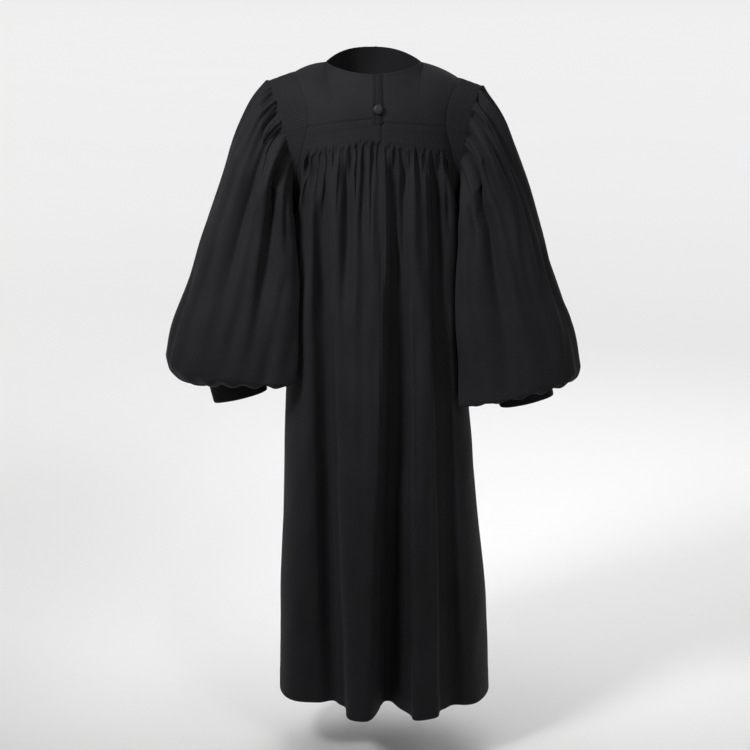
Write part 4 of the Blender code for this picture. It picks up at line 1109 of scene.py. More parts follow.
def cloth_wall(name, outer, base, out, thickness, cloth, around=False, inner_step=2):
    """A cloth wall. Its outer face is one grid, its inner face is every few columns of the plain
    grid under it moved in by the thickness, and rims close its open edges."""
    # Inner faces take a lighter colour: painted light in the shaded inside of the neck.
    materials = [material_named(cloth), material_named("robe_inside")]
    rows, columns = outer.shape[:2]
    inner = (base - thickness * grid_normals(base, out, around))[:, ::inner_step]
    inner_columns = inner.shape[1]
    points = np.concatenate([outer.reshape(-1, 3), inner.reshape(-1, 3)])
    upper = np.arange(rows * columns).reshape(rows, columns)
    lower = rows * columns + np.arange(rows * inner_columns).reshape(rows, inner_columns)
    outer_uv = cloth_uv(outer, around)
    inner_uv = cloth_uv(inner, around)
    if around:
        upper = np.concatenate([upper, upper[:, :1]], axis=1)
        lower = np.concatenate([lower, lower[:, :1]], axis=1)

    def patches(numbers):
        """The four corners of each square of a grid."""
        corners = [numbers[:-1, :-1], numbers[:-1, 1:], numbers[1:, 1:], numbers[1:, :-1]]
        return np.stack(corners, axis=2).reshape((-1, 4) + numbers.shape[2:])

    def rim(row):
        """Faces along the first or last row, each from one inner step to the outer ones."""
        count = lower.shape[1] - 1
        reach = np.arange(count)[:, None] * inner_step + np.arange(inner_step + 1)
        ends = np.stack([np.arange(1, count + 1), np.arange(count)], axis=1)
        face = np.concatenate([upper[row][reach], lower[row][ends]], axis=1)
        face_uv = np.concatenate([outer_uv[row][reach], inner_uv[row][ends]], axis=1)
        return face, face_uv

    top, top_uv = rim(0)
    bottom, bottom_uv = rim(-1)
    faces = [patches(upper), patches(lower)[:, ::-1], top[:, ::-1], bottom]
    uvs = [patches(outer_uv), patches(inner_uv)[:, ::-1], top_uv[:, ::-1], bottom_uv]
    if not around:
        for edge, turn in ((0, 1), (-1, -1)):
            for group, a, b in (
                (faces, upper[:, edge], lower[:, edge]), (uvs, outer_uv[:, edge], inner_uv[:, edge])
            ):
                group.append(np.stack([a[:-1], a[1:], b[1:], b[:-1]], axis=1)[:, ::turn])
    if out < 0:
        faces = [face[:, ::-1] for face in faces]
        uvs = [uv[:, ::-1] for uv in uvs]
    slots = np.concatenate([np.full(len(face), int(k == 1)) for k, face in enumerate(faces)])
    uv = np.concatenate([uv.reshape(-1, 2) for uv in uvs])
    return new_mesh(name, points, faces, uv, materials, slots)


def finish_piece(piece, slot, *nodes):
    """Lets a piece ride on the robe's body and stand for its plain solids."""
    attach(piece, MODEL_BODY)
    if nodes:
        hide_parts(*nodes)
    return piece


def edge_runs(points):
    """How far each place of a grid is from the grid's first and last row and column, in metres."""
    down, across = run_along(points, 0), run_along(points, 1)
    return down, down[-1:] - down, across, across[:, -1:] - across


def seam_roll(distance, roll=SEAM_ROLL):
    """How far cloth rolls in at a seam: most at the edge, fading as a bell curve."""
    depth, width = roll
    return depth * bell(distance, width)


def stitches(name, points, normals, pitch, material):
    """A row of thread stitches along a line on the cloth. The line is cut at even lengths, and
    each stitch is the same small spindle of five rings of four corners, set along the line and
    half sunk in the cloth."""
    run = run_along(points, 0)
    count = max(2, int(run[-1] / pitch))
    at = (np.arange(count) + 0.5) * run[-1] / count

    def along(values, where):
        return np.stack([np.interp(where, run, values[:, k]) for k in range(3)], axis=-1)

    middle, normal = along(points, at), unit(along(normals, at))
    half = STITCH_LENGTH / 2.0
    way = unit(along(points, at + half) - along(points, at - half))
    side = unit(np.cross(way, normal))
    fat = STITCH_WIDTHS * STITCH_THICKNESS / 2.0
    arch = STITCH_HEIGHTS * STITCH_THICKNESS
    turn = np.array([0.25, 0.75, 1.25, 1.75]) * math.pi
    shift = (
        way[:, None, None] * (STITCH_RINGS * STITCH_LENGTH)[None, :, None, None]
        + normal[:, None, None] * (arch[:, None] + fat[:, None] * np.sin(turn))[None, ..., None]
        + side[:, None, None] * (fat[:, None] * np.cos(turn))[None, ..., None]
    )
    all_points = (middle[:, None, None] + shift).reshape(-1, 3)
    ring = np.arange(20).reshape(5, 4)
    after = np.roll(ring, -1, axis=1)
    skin = np.stack([ring[:-1], after[:-1], after[1:], ring[1:]], axis=-1).reshape(-1, 4)
    ends = np.stack([ring[0][::-1], ring[-1]])
    each = np.concatenate([skin, ends])
    faces = (each[None] + 20 * np.arange(count)[:, None, None]).reshape(-1, 4)
    uvs = np.zeros((faces.size, 2))
    return new_mesh(name, all_points, [faces], uvs, [material], sharp=STITCH_SHARP_ANGLE)


def joined(name, pieces):
    """One piece made of several, which share a material."""
    with bpy.context.temp_override(
        active_object=pieces[0], object=pieces[0], selected_editable_objects=pieces,
        selected_objects=pieces,
    ):
        bpy.ops.object.join()
    pieces[0].name = name
    pieces[0].data.name = name
    return pieces[0]


# Materials

def add_node(tree, kind, **values):
    """A node with its settings: a name with a capital is an input, any other is a property."""
    node = tree.nodes.new(kind)
    for name, value in values.items():
        if name[0].isupper():
            node.inputs[name.replace("_", " ")].default_value = value
        else:
            setattr(node, name, value)
    return node


def new_material(name, **values):
    """A material whose shader has the given inputs, with its node tree, its shader and the
    tree's function for links."""
    material = bpy.data.materials.new(name)
    material.use_nodes = True
    tree = material.node_tree
    shader = tree.nodes["Principled BSDF"]
    for key, value in values.items():
        shader.inputs[key.replace("_", " ")].default_value = value
    return material, tree, shader, tree.links.new


def woven_cloth(name, colour, roughness, sheen, thread, depth):
    """A matt plain-weave cloth. Its own UV is in metres of cloth: two sine bands, one along each
    thread direction, are combined into an over-and-under weave for the bump, a slow noise
    makes the colour and the roughness uneven, and a fine noise stands for the nap."""
    material, tree, shader, link = new_material(
        name, Metallic=0.0, Specular_IOR_Level=0.16, Sheen_Weight=sheen, Sheen_Roughness=0.55,
        Sheen_Tint=(0.62, 0.62, 0.68, 1.0),
    )
    place = add_node(tree, "ShaderNodeTexCoord")
    slow = add_node(tree, "ShaderNodeTexNoise", Scale=7.0, Detail=4.0, Roughness=0.6)
    link(place.outputs["Object"], slow.inputs["Vector"])
    ramp = add_node(tree, "ShaderNodeValToRGB")
    for end, position, change in zip(ramp.color_ramp.elements, (0.3, 0.7), (-MOTTLE, MOTTLE)):
        end.position = position
        end.color = (*(c * (1.0 + change) for c in colour), 1.0)
    link(slow.outputs["Fac"], ramp.inputs["Fac"])
    link(ramp.outputs["Color"], shader.inputs["Base Color"])
    rough = add_node(
        tree, "ShaderNodeMapRange", To_Min=roughness - 0.05, To_Max=roughness + 0.05
    )
    link(slow.outputs["Fac"], rough.inputs["Value"])
    link(rough.outputs["Result"], shader.inputs["Roughness"])
    weave = add_node(tree, "ShaderNodeMath", operation="MULTIPLY")
    for k, direction in enumerate(("X", "Y")):
        wave = add_node(
            tree, "ShaderNodeTexWave", bands_direction=direction, Scale=math.pi / (10.0 * thread),
            Distortion=0.35, Detail=1.0,
        )
        link(place.outputs["UV"], wave.inputs["Vector"])
        link(wave.outputs["Fac"], weave.inputs[k])
    nap = add_node(tree, "ShaderNodeTexNoise", Scale=900.0, Detail=2.0)
    link(place.outputs["Object"], nap.inputs["Vector"])
    height = add_node(tree, "ShaderNodeMath", operation="MULTIPLY_ADD")
    height.inputs[1].default_value = 0.5
    link(nap.outputs["Fac"], height.inputs[0])
    link(weave.outputs["Value"], height.inputs[2])
    bump = add_node(tree, "ShaderNodeBump", Strength=0.5, Distance=depth)
    link(height.outputs["Value"], bump.inputs["Height"])
    link(bump.outputs["Normal"], shader.inputs["Normal"])
    return material


def material_named(name):
    """One of the robe's materials, made when it is first asked for."""
    found = bpy.data.materials.get("look_" + name)
    if found is not None:
        return found
    colour, *settings = CLOTHS[name]
    return woven_cloth("look_" + name, getattr(bpy.context.scene.robe_colours, colour), *settings)


# Pieces

def rows_of_levels(*parts):
    """Levels down a piece, from parts of (start, end, count), joined without doubles."""
    levels = [np.linspace(start, end, count, endpoint=False) for start, end, count in parts]
    return np.concatenate(levels + [[parts[-1][1]]])[:, None]


def softened(points, falls, from_side):
    """The panel's grid, eased down the cloth where the armhole ends: each place moves to the
    average of its neighbours above and below, several times, with a weight that is a bell curve
    round the armhole's foot and nothing at the side edge."""
    eased = points.copy()
    for _ in range(FOOT_PASSES):
        eased[1:-1] = 0.5 * eased[1:-1] + 0.25 * (eased[:-2] + eased[2:])
    weight = bell(falls - ARMHOLE_FALL, FOOT_REACH) * smoothstep(0.0, FOOT_EDGE, from_side)
    return points + weight[..., None] * (eased - points)


def body_panel_grid(side, hand, columns):
    """Outer plain form of half the back or front, its shares and its falls."""
    falls = rows_of_levels(*BODY_LEVELS)
    centre = centre_share(side, falls)
    spread = np.linspace(0.0, 1.0, columns + 1)
    share = centre * spread if hand == LEFT else centre + (1.0 - centre) * spread
    points = panel_surface(side, hand, share, falls)
    points = softened(points, falls, share if hand == LEFT else 1.0 - share)
    centre_edge, side_edge = (-1, 0) if hand == LEFT else (0, -1)
    points[:, centre_edge, 0] = centre_x(side) + hand * SEAM_GAP / 2.0
    below = falls[:, 0] >= ARMHOLE_FALL
    points[below, side_edge, 1] += side * SEAM_GAP / 2.0
    return points, share, falls


def build_body_panel(sizes, side, side_name, hand, hand_name):
    """Half of the back or front, from the yoke's seam to the hem: its plain form, moved along its
    normals by the fine relief, which dies out at the seams and rolls in there. Below the
    armhole the side edge lies on the plane between back and front."""
    base, share, falls = body_panel_grid(side, hand, sizes.panel_columns)
    normals = grid_normals(base, side)
    relief = panel_relief(sizes, side, share, falls, base[..., 0])
    top, _, left, right = edge_runs(base)
    centre_run, side_run = (right, left) if hand == LEFT else (left, right)
    calm = smoothstep(0.0, CALM_CENTRE, centre_run) * smoothstep(0.0, CALM_SIDE, side_run)
    relief = relief * calm - seam_roll(centre_run, CENTRE_SEAM_ROLL)
    relief = relief - seam_roll(side_run) - seam_roll(top)
    outer = base + normals * relief[..., None]
    under = base + normals * np.minimum(relief, 0.0)[..., None]
    below = falls[:, 0] >= ARMHOLE_FALL
    for skin in (outer, under):
        skin[below, 0 if hand == LEFT else -1, 1] = side * SIDE_SEAM_GAP / 2.0
    piece = cloth_wall(
        f"{side_name}_cloth_{hand_name}", outer, under, side, sizes.body_wall, "robe_cloth"
    )
    finish_piece(piece, "robe_cloth", f"{side_name}_panel_{hand_name}")
    return piece


def yoke_across(side, hand):
    """Places across half a yoke, from left to right."""
    ends = sorted((centre_x(side) / YOKE_CORNER_X, float(hand)))
    return np.linspace(*ends, YOKE_STEPS[0] + 1)


def yoke_grid(side, hand):
    """Outer form of half a yoke, from its lower seam up, columns from left to right."""
    ups = np.linspace(0.0, 1.0, YOKE_STEPS[1] + 1)[:, None]
    points = yoke_surface(side, hand, yoke_across(side, hand), ups)
    points[:, -1 if hand == LEFT else 0, 0] = centre_x(side) + hand * SEAM_GAP / 2.0
    points[..., 1] = side * np.maximum(side * points[..., 1], SEAM_GAP / 2.0)
    return points


def build_yoke(sizes, side, side_name, hand, hand_name):
    """Half of the back or front yoke: plain smooth cloth, rolled in at its seams, with a soft
    unevenness and a stitched line round the neck."""
    base = yoke_grid(side, hand)
    normals = grid_normals(base, -side)
    bottom, top, left, right = edge_runs(base)
    centre_run, armhole_run = (right, left) if hand == LEFT else (left, right)
    calm = math.prod(
        smoothstep(0.0, CALM_YOKE, run) for run in (bottom, top, armhole_run, centre_run)
    )
    seed = YOKE_WAVES_SEED + side
    relief = calm * soft_waves(base[..., 0], base[..., 2], seed, 0.5 * sizes.wave_height)
    relief = relief - seam_roll(bottom) - seam_roll(armhole_run)
    relief = relief - seam_roll(centre_run, YOKE_EDGE_ROLL) - seam_roll(top, YOKE_EDGE_ROLL)
    relief = relief - seam_roll(top - NECK_STITCH_INSET, NECK_STITCH_LINE)
    outer = base + normals * relief[..., None]
    outer[..., 1] = side * np.maximum(side * outer[..., 1], SEAM_GAP / 2.0)
    piece = cloth_wall(
        f"{side_name}_yoke_cloth_{hand_name}", outer, base, -side, sizes.yoke_wall, "yoke_cloth"
    )
    finish_piece(piece, "yoke_cloth", f"{side_name}_yoke_{hand_name}")
    return piece


def build_sleeve(sizes, hand, hand_name):
    """A sleeve from the armhole to the cuff: shirred head, gathers, long folds, blouse over the
    cuff and puckers into it."""
    columns = sizes.sleeve_columns
    share = rows_of_levels(*SLEEVE_LEVELS)
    place = np.arange(columns)[None] / columns
    base = sleeve_surface(hand, share, place)
    normals = grid_normals(sleeve_base(hand, share, place), hand, around=True)
    girth = cloth_uv(base, around=True)[:, :-1, 0]
    relief = sleeve_fine_relief(sizes, hand, share, place, girth)
    top_run = run_along(base, 0)
    relief = relief * smoothstep(0.0, CALM_ARMHOLE, top_run) - seam_roll(top_run)
    relief = relief - seam_roll(top_run[-1:] - top_run)
    outer = base + normals * relief[..., None]
    under = base + normals * np.minimum(relief, 0.0)[..., None]
    piece = cloth_wall(
        f"sleeve_cloth_{hand_name}", outer, under, hand, sizes.body_wall, "robe_cloth",
        around=True, inner_step=4,
    )
    finish_piece(piece, "robe_cloth", f"sleeve_{hand_name}")
    return piece


def build_cuff(sizes, hand, hand_name):
    """The band that a sleeve is gathered into, with its edges rolled and a slight unevenness."""
    columns, rows = CUFF_STEPS
    downs = np.linspace(0.0, CUFF_HEIGHT, rows + 1)[:, None]
    place = np.arange(columns)[None] / columns
    base = cuff_ring(hand, place, downs)
    normals = grid_normals(base, hand, around=True)
    relief = sum(
        height * np.sin(count * TURN * place + slant * downs)
        for height, count, slant in CUFF_WAVES
    )
    relief = relief - seam_roll(np.minimum(downs, CUFF_HEIGHT - downs), CUFF_EDGE_ROLL)
    outer = base + normals * relief[..., None]
    piece = cloth_wall(
        f"cuff_cloth_{hand_name}", outer, base, hand, sizes.cuff_wall, "robe_cloth",
        around=True, inner_step=4,
    )
    finish_piece(piece, "robe_cloth", f"cuff_{hand_name}")
    return piece


def back_face_y(x, z):
    """The outer face of the back at places near its centre line, on the yoke or just below."""
    hand = LEFT if x < CENTRE_BACK_X else RIGHT
    rows = panel_surface(BACK, hand, np.linspace(0.4, 0.6, 60), np.linspace(0.03, 0.0, 6)[:, None])
    below = [[np.interp(x, row[:, 0], row[:, k]) for k in (2, 1)] for row in rows]
    ups = np.linspace(0.0, 1.0, 120)[:, None]
    above = yoke_surface(BACK, hand, np.array([x / YOKE_CORNER_X]), ups)[:, 0][:, [2, 1]]
    line = np.concatenate([below, above])
    return np.interp(z, line[:, 0], line[:, 1])


def strap_grid():
    """The face of the hood strap that lies on the yoke, from the neck down to the seam. Its
    depth is that of the outermost cloth under its left edge, the centre seam and its right."""
    columns, rows = STRAP_STEPS
    xs = STRAP_CENTRE_X + STRAP_HALF_WIDTH * np.linspace(-1.0, 1.0, columns + 1)
    top = float(neck_point(np.array([0.01]), BACK)[0, 2]) - STRAP_TOP_DROP
    zs = np.linspace(top, STRAP_BOTTOM_Z, rows + 1)
    ys = np.min([back_face_y(x, zs) for x in (xs[0], CENTRE_BACK_X - 0.001, xs[-1])], axis=0)
    grid = np.stack(np.broadcast_arrays(xs[None], (ys - LAID_GAP)[:, None], zs[:, None]), axis=-1)
    return grid.copy()


def build_hood_strap(sizes):
    """The hood strap, a flat folded strip that is thinner along its edges, with two soft dips
    along it and a shallow ring pulled in round the button."""
    base = strap_grid()
    across = np.linspace(-1.0, 1.0, base.shape[1])[None]
    down = np.linspace(0.0, 1.0, base.shape[0])[:, None]
    relief = STRIP_LIFT - seam_roll(np.abs(across) - 1.0, STRAP_EDGE)
    for dip_place, dip_width in STRAP_DIPS:
        relief = relief - STRAP_DIP_DEPTH * bell(across - dip_place, dip_width)
    from_button = np.hypot(base[..., 0] - BUTTON_X, base[..., 2] - BUTTON_Z)
    relief = relief - seam_roll(from_button - BUTTON_RING_RADIUS, BUTTON_RING)
    height, per_down, per_across = STRAP_WAVE
    relief = relief + height * np.sin(per_down * down + per_across * across)
    outer = base + grid_normals(base, BACK) * relief[..., None]
    # The strap's cloth is drawn darker than the yoke's: painted shade.
    piece = cloth_wall(
        "hood_strap_cloth", outer, outer, BACK, sizes.strap_wall - STRAP_CLEAR, "strap_cloth"
    )
    finish_piece(piece, "yoke_cloth", "hood_strap")
    return piece


def button_profile():
    """The button's radii and heights: the rim, a quarter of an ellipse, and the flat top."""
    rise = np.linspace(0.0, math.pi / 2.0, BUTTON_STEPS[1])
    flat = BUTTON_FLAT_RADIUS
    dome = np.stack([
        flat + (BUTTON_RADIUS - flat) * np.cos(rise),
        BUTTON_DOME_FOOT + (BUTTON_HEIGHT - BUTTON_DOME_FOOT) * np.sin(rise),
    ], axis=1)
    top = [[flat * share, BUTTON_HEIGHT + BUTTON_CROWN] for share in (0.6, 0.3, 0.0)]
    return np.concatenate([BUTTON_RIM, dome, top]).T


def build_button():
    """The covered button, its profile turned about its own axis: a rim that tucks under, a dome
    and a small flat top, in cloth drawn tight over it with faint pleats under the rim."""
    seat, low, high = (
        float(back_face_y(BUTTON_X, BUTTON_Z + k * BUTTON_RADIUS)) for k in (0, -1, 1)
    )
    tilt = math.atan2(high - low, 2.0 * BUTTON_RADIUS)
    radius, height = button_profile()
    steps = BUTTON_STEPS[0]
    turn = TURN * np.arange(steps) / steps
    pleats = 1.0 - BUTTON_PLEAT_DEPTH * np.clip(np.cos(BUTTON_PLEATS * turn), 0.0, 1.0)[None] * (
        smoothstep(BUTTON_PLEAT_TOP, 0.0, height)[:, None]
    )
    ring = radius[:, None] * pleats
    out, up = -height[:, None] + 0.0 * ring, ring * np.sin(turn)
    y = out * math.cos(tilt) + up * math.sin(tilt)
    z = -out * math.sin(tilt) + up * math.cos(tilt)
    place = [BUTTON_X, seat - 2.0 * LAID_GAP - STRIP_LIFT, BUTTON_Z]
    points = np.stack([ring * np.cos(turn), y, z], axis=-1) + place
    body = points[1:-1].reshape(-1, 3)
    points = np.concatenate([body, points[:1, 0], points[-1:, 0]])
    numbers = np.arange(len(body)).reshape(-1, steps)
    after = np.roll(numbers, -1, axis=1)
    skin = np.stack([numbers[:-1], after[:-1], after[1:], numbers[1:]], axis=-1).reshape(-1, 4)
    foot, crown = len(body), len(body) + 1
    under = np.stack([np.full(steps, foot), after[0], numbers[0]], axis=-1)
    over = np.stack([np.full(steps, crown), numbers[-1], after[-1]], axis=-1)
    faces = [skin, under, over]
    uvs = np.concatenate([points[face.ravel()][:, [0, 2]] for face in faces])
    piece = new_mesh("hood_button_cloth", points, faces, uvs, [material_named("button_cloth")])
    return finish_piece(piece, "button_cloth", "hood_button")


def placket_grid():
    """The under face of the front strip: it takes the rows of the front yoke and body, moved out
    a little, from the neck to the hem. Widths are moved by 0.5 m to read them."""
    across = np.linspace(-0.4, 0.4, 160)
    ups = np.linspace(0.99, 0.0, 40)[:, None]
    falls = rows_of_levels(*PLACKET_LEVELS)
    yoke = yoke_surface(FRONT, LEFT, across, ups)
    body = panel_surface(FRONT, LEFT, np.linspace(0.3, 0.7, 240), falls)
    xs = PLACKET_HALF * np.linspace(-1.0, 1.0, PLACKET_COLUMNS + 1)
    rows = []
    for grid in (yoke, body):
        knots = grid[..., 0] + 0.5
        at = np.broadcast_to(xs + 0.5, (len(grid), len(xs)))
        y, z = (along_rows(at, knots, grid[..., k]) for k in (1, 2))
        rows.append(np.stack([at - 0.5, y + LAID_GAP, z], axis=-1))
    return np.concatenate(rows)


def build_placket(sizes):
    """The flat strip over the front closing, with a stitched line along each edge."""
    base = placket_grid()
    across = PLACKET_HALF * np.linspace(-1.0, 1.0, base.shape[1])[None]
    from_edge = PLACKET_HALF - np.abs(across)
    down = base[:1, :, 2] - base[..., 2]
    relief = STRIP_LIFT - seam_roll(from_edge, PLACKET_EDGE)
    relief = relief - seam_roll(from_edge - PLACKET_STITCH_INSET, PLACKET_STITCH_LINE)
    height, per_down, per_across = PLACKET_WAVE
    waves = height * np.sin(down * per_down + across * per_across)
    relief = relief + waves * smoothstep(0.0, 0.1, down)
    outer = base + grid_normals(base, FRONT) * relief[..., None]
    piece = cloth_wall(
        "front_placket_cloth", outer, outer, FRONT, sizes.strap_wall - PLACKET_CLEAR, "yoke_cloth"
    )
    finish_piece(piece, "yoke_cloth", "front_placket")
    return piece


# Sewing

def row_near(run, inset):
    """The row of a grid whose mean distance from an edge is nearest to the inset."""
    return int(np.argmin(np.abs(np.mean(run, axis=1) - inset)))


def build_stitching(sizes):
    """Thread along the edges that are sewn through: the neck, the yoke's lower seam, the hood
    strap, the front strip and both edges of the cuffs."""
    thread = material_named("thread")

    def sew(name, points, normals):
        return stitches(name, points, normals, sizes.stitch_pitch, thread)

    groups = {"neck_stitching": [], "yoke_stitching": []}
    for side, hand in ((side, hand) for side in (BACK, FRONT) for hand in (LEFT, RIGHT)):
        grid = yoke_grid(side, hand)
        normals = grid_normals(grid, -side)
        bottom, top = edge_runs(grid)[:2]
        at_neck = np.abs(yoke_across(side, hand)) < NECK_STITCH_SHARE
        high, low = row_near(top, NECK_STITCH_INSET), row_near(bottom, YOKE_STITCH_INSET)
        groups["neck_stitching"].append(
            sew(f"neck_{side}_{hand}", grid[high][at_neck], normals[high][at_neck])
        )
        groups["yoke_stitching"].append(sew(f"yoke_{side}_{hand}", grid[low], normals[low]))
    # Each pair of rows: its name, its cloth and side, how far out it lies, and its columns
    for name, grid, out, lift, columns in (
        ("strap_stitching", strap_grid(), BACK, 0.0015, (3, -4)),
        ("placket_stitching", placket_grid(), FRONT, 0.0014, (4, -5)),
    ):
        grid = grid + grid_normals(grid, out) * lift
        normals = grid_normals(grid, out)
        groups[name] = [sew(f"{name}_{k}", grid[:, k], normals[:, k]) for k in columns]
    place = np.arange(CUFF_STEPS[0] + 1)[None] / CUFF_STEPS[0]
    for hand, hand_name in HANDS:
        group = groups[f"cuff_stitching_{hand_name}"] = []
        for down in (CUFF_STITCH_INSET, CUFF_HEIGHT - CUFF_STITCH_INSET):
            ring = cuff_ring(hand, place, np.array([[down - 0.001], [down], [down + 0.001]]))
            group.append(sew(f"cuff_{hand}_{down}", ring[1], grid_normals(ring, hand)[1]))
    return [finish_piece(joined(name, rows), "robe_cloth") for name, rows in groups.items()]


# Stage

def build_stage(studio):
    """A plain pale floor, soft area lights round the camera, a pale surround and the camera. One
    of the lights falls on the floor alone."""
    corners = studio.floor_half * np.array([[-1.0, -1.0], [1.0, -1.0], [1.0, 1.0], [-1.0, 1.0]])
    points = np.column_stack([corners, np.full(4, studio.floor_level)])
    floor = new_mesh(
        "floor", points, [np.array([[0, 1, 2, 3]])], points[:, :2], [floor_material(studio)]
    )
    scene = bpy.context.scene
    scene.view_settings.view_transform = "Standard"
    world = bpy.data.worlds.new("studio")
    world.use_nodes = True
    surround = world.node_tree.nodes["Background"]
    surround.inputs["Color"].default_value = (*studio.surround_colour, 1.0)
    surround.inputs["Strength"].default_value = studio.surround_strength
    scene.world = world
    lights = {
        name: soft_light(f"{name}_light", light, getattr(studio, f"{name}_power"))
        for name, light in LIGHTS.items()
    }
    floor_only = bpy.data.collections.new("floor_only")
    floor_only.objects.link(floor)
    lights["floor"].light_linking.receiver_collection = floor_only
    camera_data = bpy.data.cameras.new("camera")
    camera_data.sensor_width = 36.0
    camera_data.lens = studio.lens
    camera_data.clip_end = 400.0
    camera = bpy.data.objects.new("camera", camera_data)
    camera.location = (studio.camera_x, -studio.camera_distance, studio.camera_height)
    camera.rotation_euler = (math.pi / 2.0 - studio.camera_pitch, 0.0, 0.0)
    scene.collection.objects.link(camera)
    scene.camera = camera


def floor_material(studio):
    """A matt pale floor with a barely uneven tone."""
    material, tree, shader, link = new_material(
        "look_floor", Roughness=0.9, Specular_IOR_Level=0.1
    )
    place = add_node(tree, "ShaderNodeTexCoord")
    noise = add_node(tree, "ShaderNodeTexNoise", Scale=0.8, Detail=2.0)
    link(place.outputs["Object"], noise.inputs["Vector"])
    ramp = add_node(tree, "ShaderNodeValToRGB")
    for end, tone in zip(ramp.color_ramp.elements, (0.985, 1.0)):
        end.color = (*(c * tone for c in studio.floor_colour), 1.0)
    link(noise.outputs["Fac"], ramp.inputs["Fac"])
    link(ramp.outputs["Color"], shader.inputs["Base Color"])
    return material


def soft_light(name, light, power):
    """A square area light at its place, turned to its target."""
    data = bpy.data.lights.new(name, "AREA")
    data.shape = "SQUARE"
    data.size = light.size
    data.energy = power
    data.spread = math.radians(light.spread)
    lamp = bpy.data.objects.new(name, data)
    lamp.location = light.place
    lamp.visible_camera = False
    x, y, z = (b - a for a, b in zip(light.place, light.target))
    rise = math.pi / 2.0 + math.atan2(z, math.hypot(x, y))
    lamp.rotation_euler = (rise, 0.0, math.atan2(y, x) - math.pi / 2.0)
    bpy.context.scene.collection.objects.link(lamp)
    return lamp


# The add-on

def length_setting(name, description, default, low, high, precision=4):
    """A setting in metres."""
    return bpy.props.FloatProperty(
        name=name, description=description, default=default, min=low, max=high, unit="LENGTH",
        precision=precision,
    )


def count_setting(name, description, default, low, high):
    """A setting that is a whole number."""
    return bpy.props.IntProperty(
        name=name, description=description, default=default, min=low, max=high
    )


def colour_setting(name, description, default):
    """A setting that is a colour."""
    return bpy.props.FloatVectorProperty(
        name=name, description=description, default=default, min=0.0, max=1.0, subtype="COLOR"
    )


def power_setting(name, description, default, high=2000.0):
    """A setting in watts."""
    return bpy.props.FloatProperty(
        name=name, description=description, default=default, min=0.0, max=high, unit="POWER"
    )


class RobeSizes(bpy.types.PropertyGroup):
    """Sizes of the robe that a user may change."""

    body_wall: length_setting(
        "Body cloth", "Thickness of the body and sleeve cloth", 0.0014, 0.0005, 0.003
    )
    yoke_wall: length_setting(
        "Yoke cloth", "Thickness of the doubled yoke cloth", 0.0018, 0.0005, 0.003
    )
    cuff_wall: length_setting("Cuff cloth", "Thickness of the folded cuff", 0.0020, 0.0005, 0.004)
    strap_wall: length_setting(
        "Strap cloth", "Thickness of the hood strap and the front strip", 0.0016, 0.0005, 0.003
    )
    flute_depth: length_setting(
        "Flute depth", "Half the height of the fine flutes on the shirred bands",
        0.0005, 0.0, 0.002,
    )
    body_flutes: count_setting(
        "Body flutes", "Flutes across the whole back or front band", 88, 10, 200
    )
    sleeve_flutes: count_setting("Sleeve flutes", "Flutes all round a sleeve head", 150, 10, 200)
    wave_height: length_setting(
        "Unevenness", "Height of the slow waves in the hanging cloth", 0.0016, 0.0, 0.006
    )
    panel_columns: count_setting(
        "Panel columns", "Columns of the mesh across half the back or front", 176, 44, 240
    )
    sleeve_columns: count_setting(
        "Sleeve columns", "Columns of the mesh round a sleeve", 600, 80, 700
    )
    panel_cut_width: length_setting(
        "Panel cut width", "Flat width of the cloth in half the back or front",
        0.42, 0.2, 1.0, precision=2,
    )
    stitch_pitch: length_setting(
        "Stitch spacing", "Distance from one stitch to the next", 0.0032, 0.001, 0.01
    )


class RobeColours(bpy.types.PropertyGroup):
    """Colours of the robe that a user may change."""

    robe_cloth: colour_setting("Robe cloth", "The body, sleeves and cuffs", (0.01, 0.01, 0.0115))
    yoke_cloth: colour_setting("Yoke cloth", "The yoke and front strip", (0.0106, 0.0106, 0.0119))
    # Lighter than the robe cloth: painted light that brightens the shaded inside of the neck.
    inside: colour_setting("Inside", "The cloth's inner face", (0.0135, 0.0135, 0.015))
    # Darker than the yoke cloth: painted shade that stands for the shade along the strap's edges.
    strap: colour_setting("Strap cloth", "The hood strap", (0.0072, 0.0072, 0.0084))
    button: colour_setting("Button", "The covered button", (0.018, 0.018, 0.021))
    thread: colour_setting("Thread", "The sewing thread", (0.0075, 0.0075, 0.0085))


class RobeStudio(bpy.types.PropertyGroup):
    """The camera, the floor and the lights."""

    camera_distance: length_setting(
        "Camera distance", "How far the camera stands behind the robe", 3.9, 1.0, 20.0
    )
    camera_x: length_setting("Camera sideways", "Sideways place of the camera", -0.003, -5.0, 5.0)
    camera_height: length_setting(
        "Camera height", "Height of the camera over the shoulders", 0.25, -5.0, 10.0
    )
    camera_pitch: bpy.props.FloatProperty(
        name="Camera pitch", description="How far the camera looks down",
        default=math.radians(12.96), min=-1.5, max=1.5, subtype="ANGLE",
    )
    lens: bpy.props.FloatProperty(
        name="Lens", description="Focal length in millimetres on a 36 mm sensor",
        default=91.97, min=10.0, max=300.0,
    )
    floor_level: length_setting("Floor level", "Height of the floor", -1.46, -5.0, 0.0)
    floor_half: length_setting("Floor half width", "Half the width of the floor", 120.0, 2.0, 500.0)
    floor_colour: colour_setting("Floor colour", "The floor", (0.80, 0.80, 0.80))
    surround_colour: colour_setting("Surround colour", "The studio's surround", (1.0, 1.0, 1.0))
    surround_strength: bpy.props.FloatProperty(
        name="Surround strength", description="Brightness of the studio's surround",
        default=0.17, min=0.0, max=10.0,
    )
    key_power: power_setting("Key light", "Power of the main light", 5.8)
    fill_power: power_setting("Fill light", "Power of the light on the other side", 2.1)
    top_power: power_setting("Top light", "Power of the light overhead", 1.6)
    floor_power: power_setting(
        "Floor light", "Power of the light over the floor beyond the robe", 10500.0, 50000.0
    )
    back_power: power_setting("Back light", "Power of the light on the far side", 12.0)


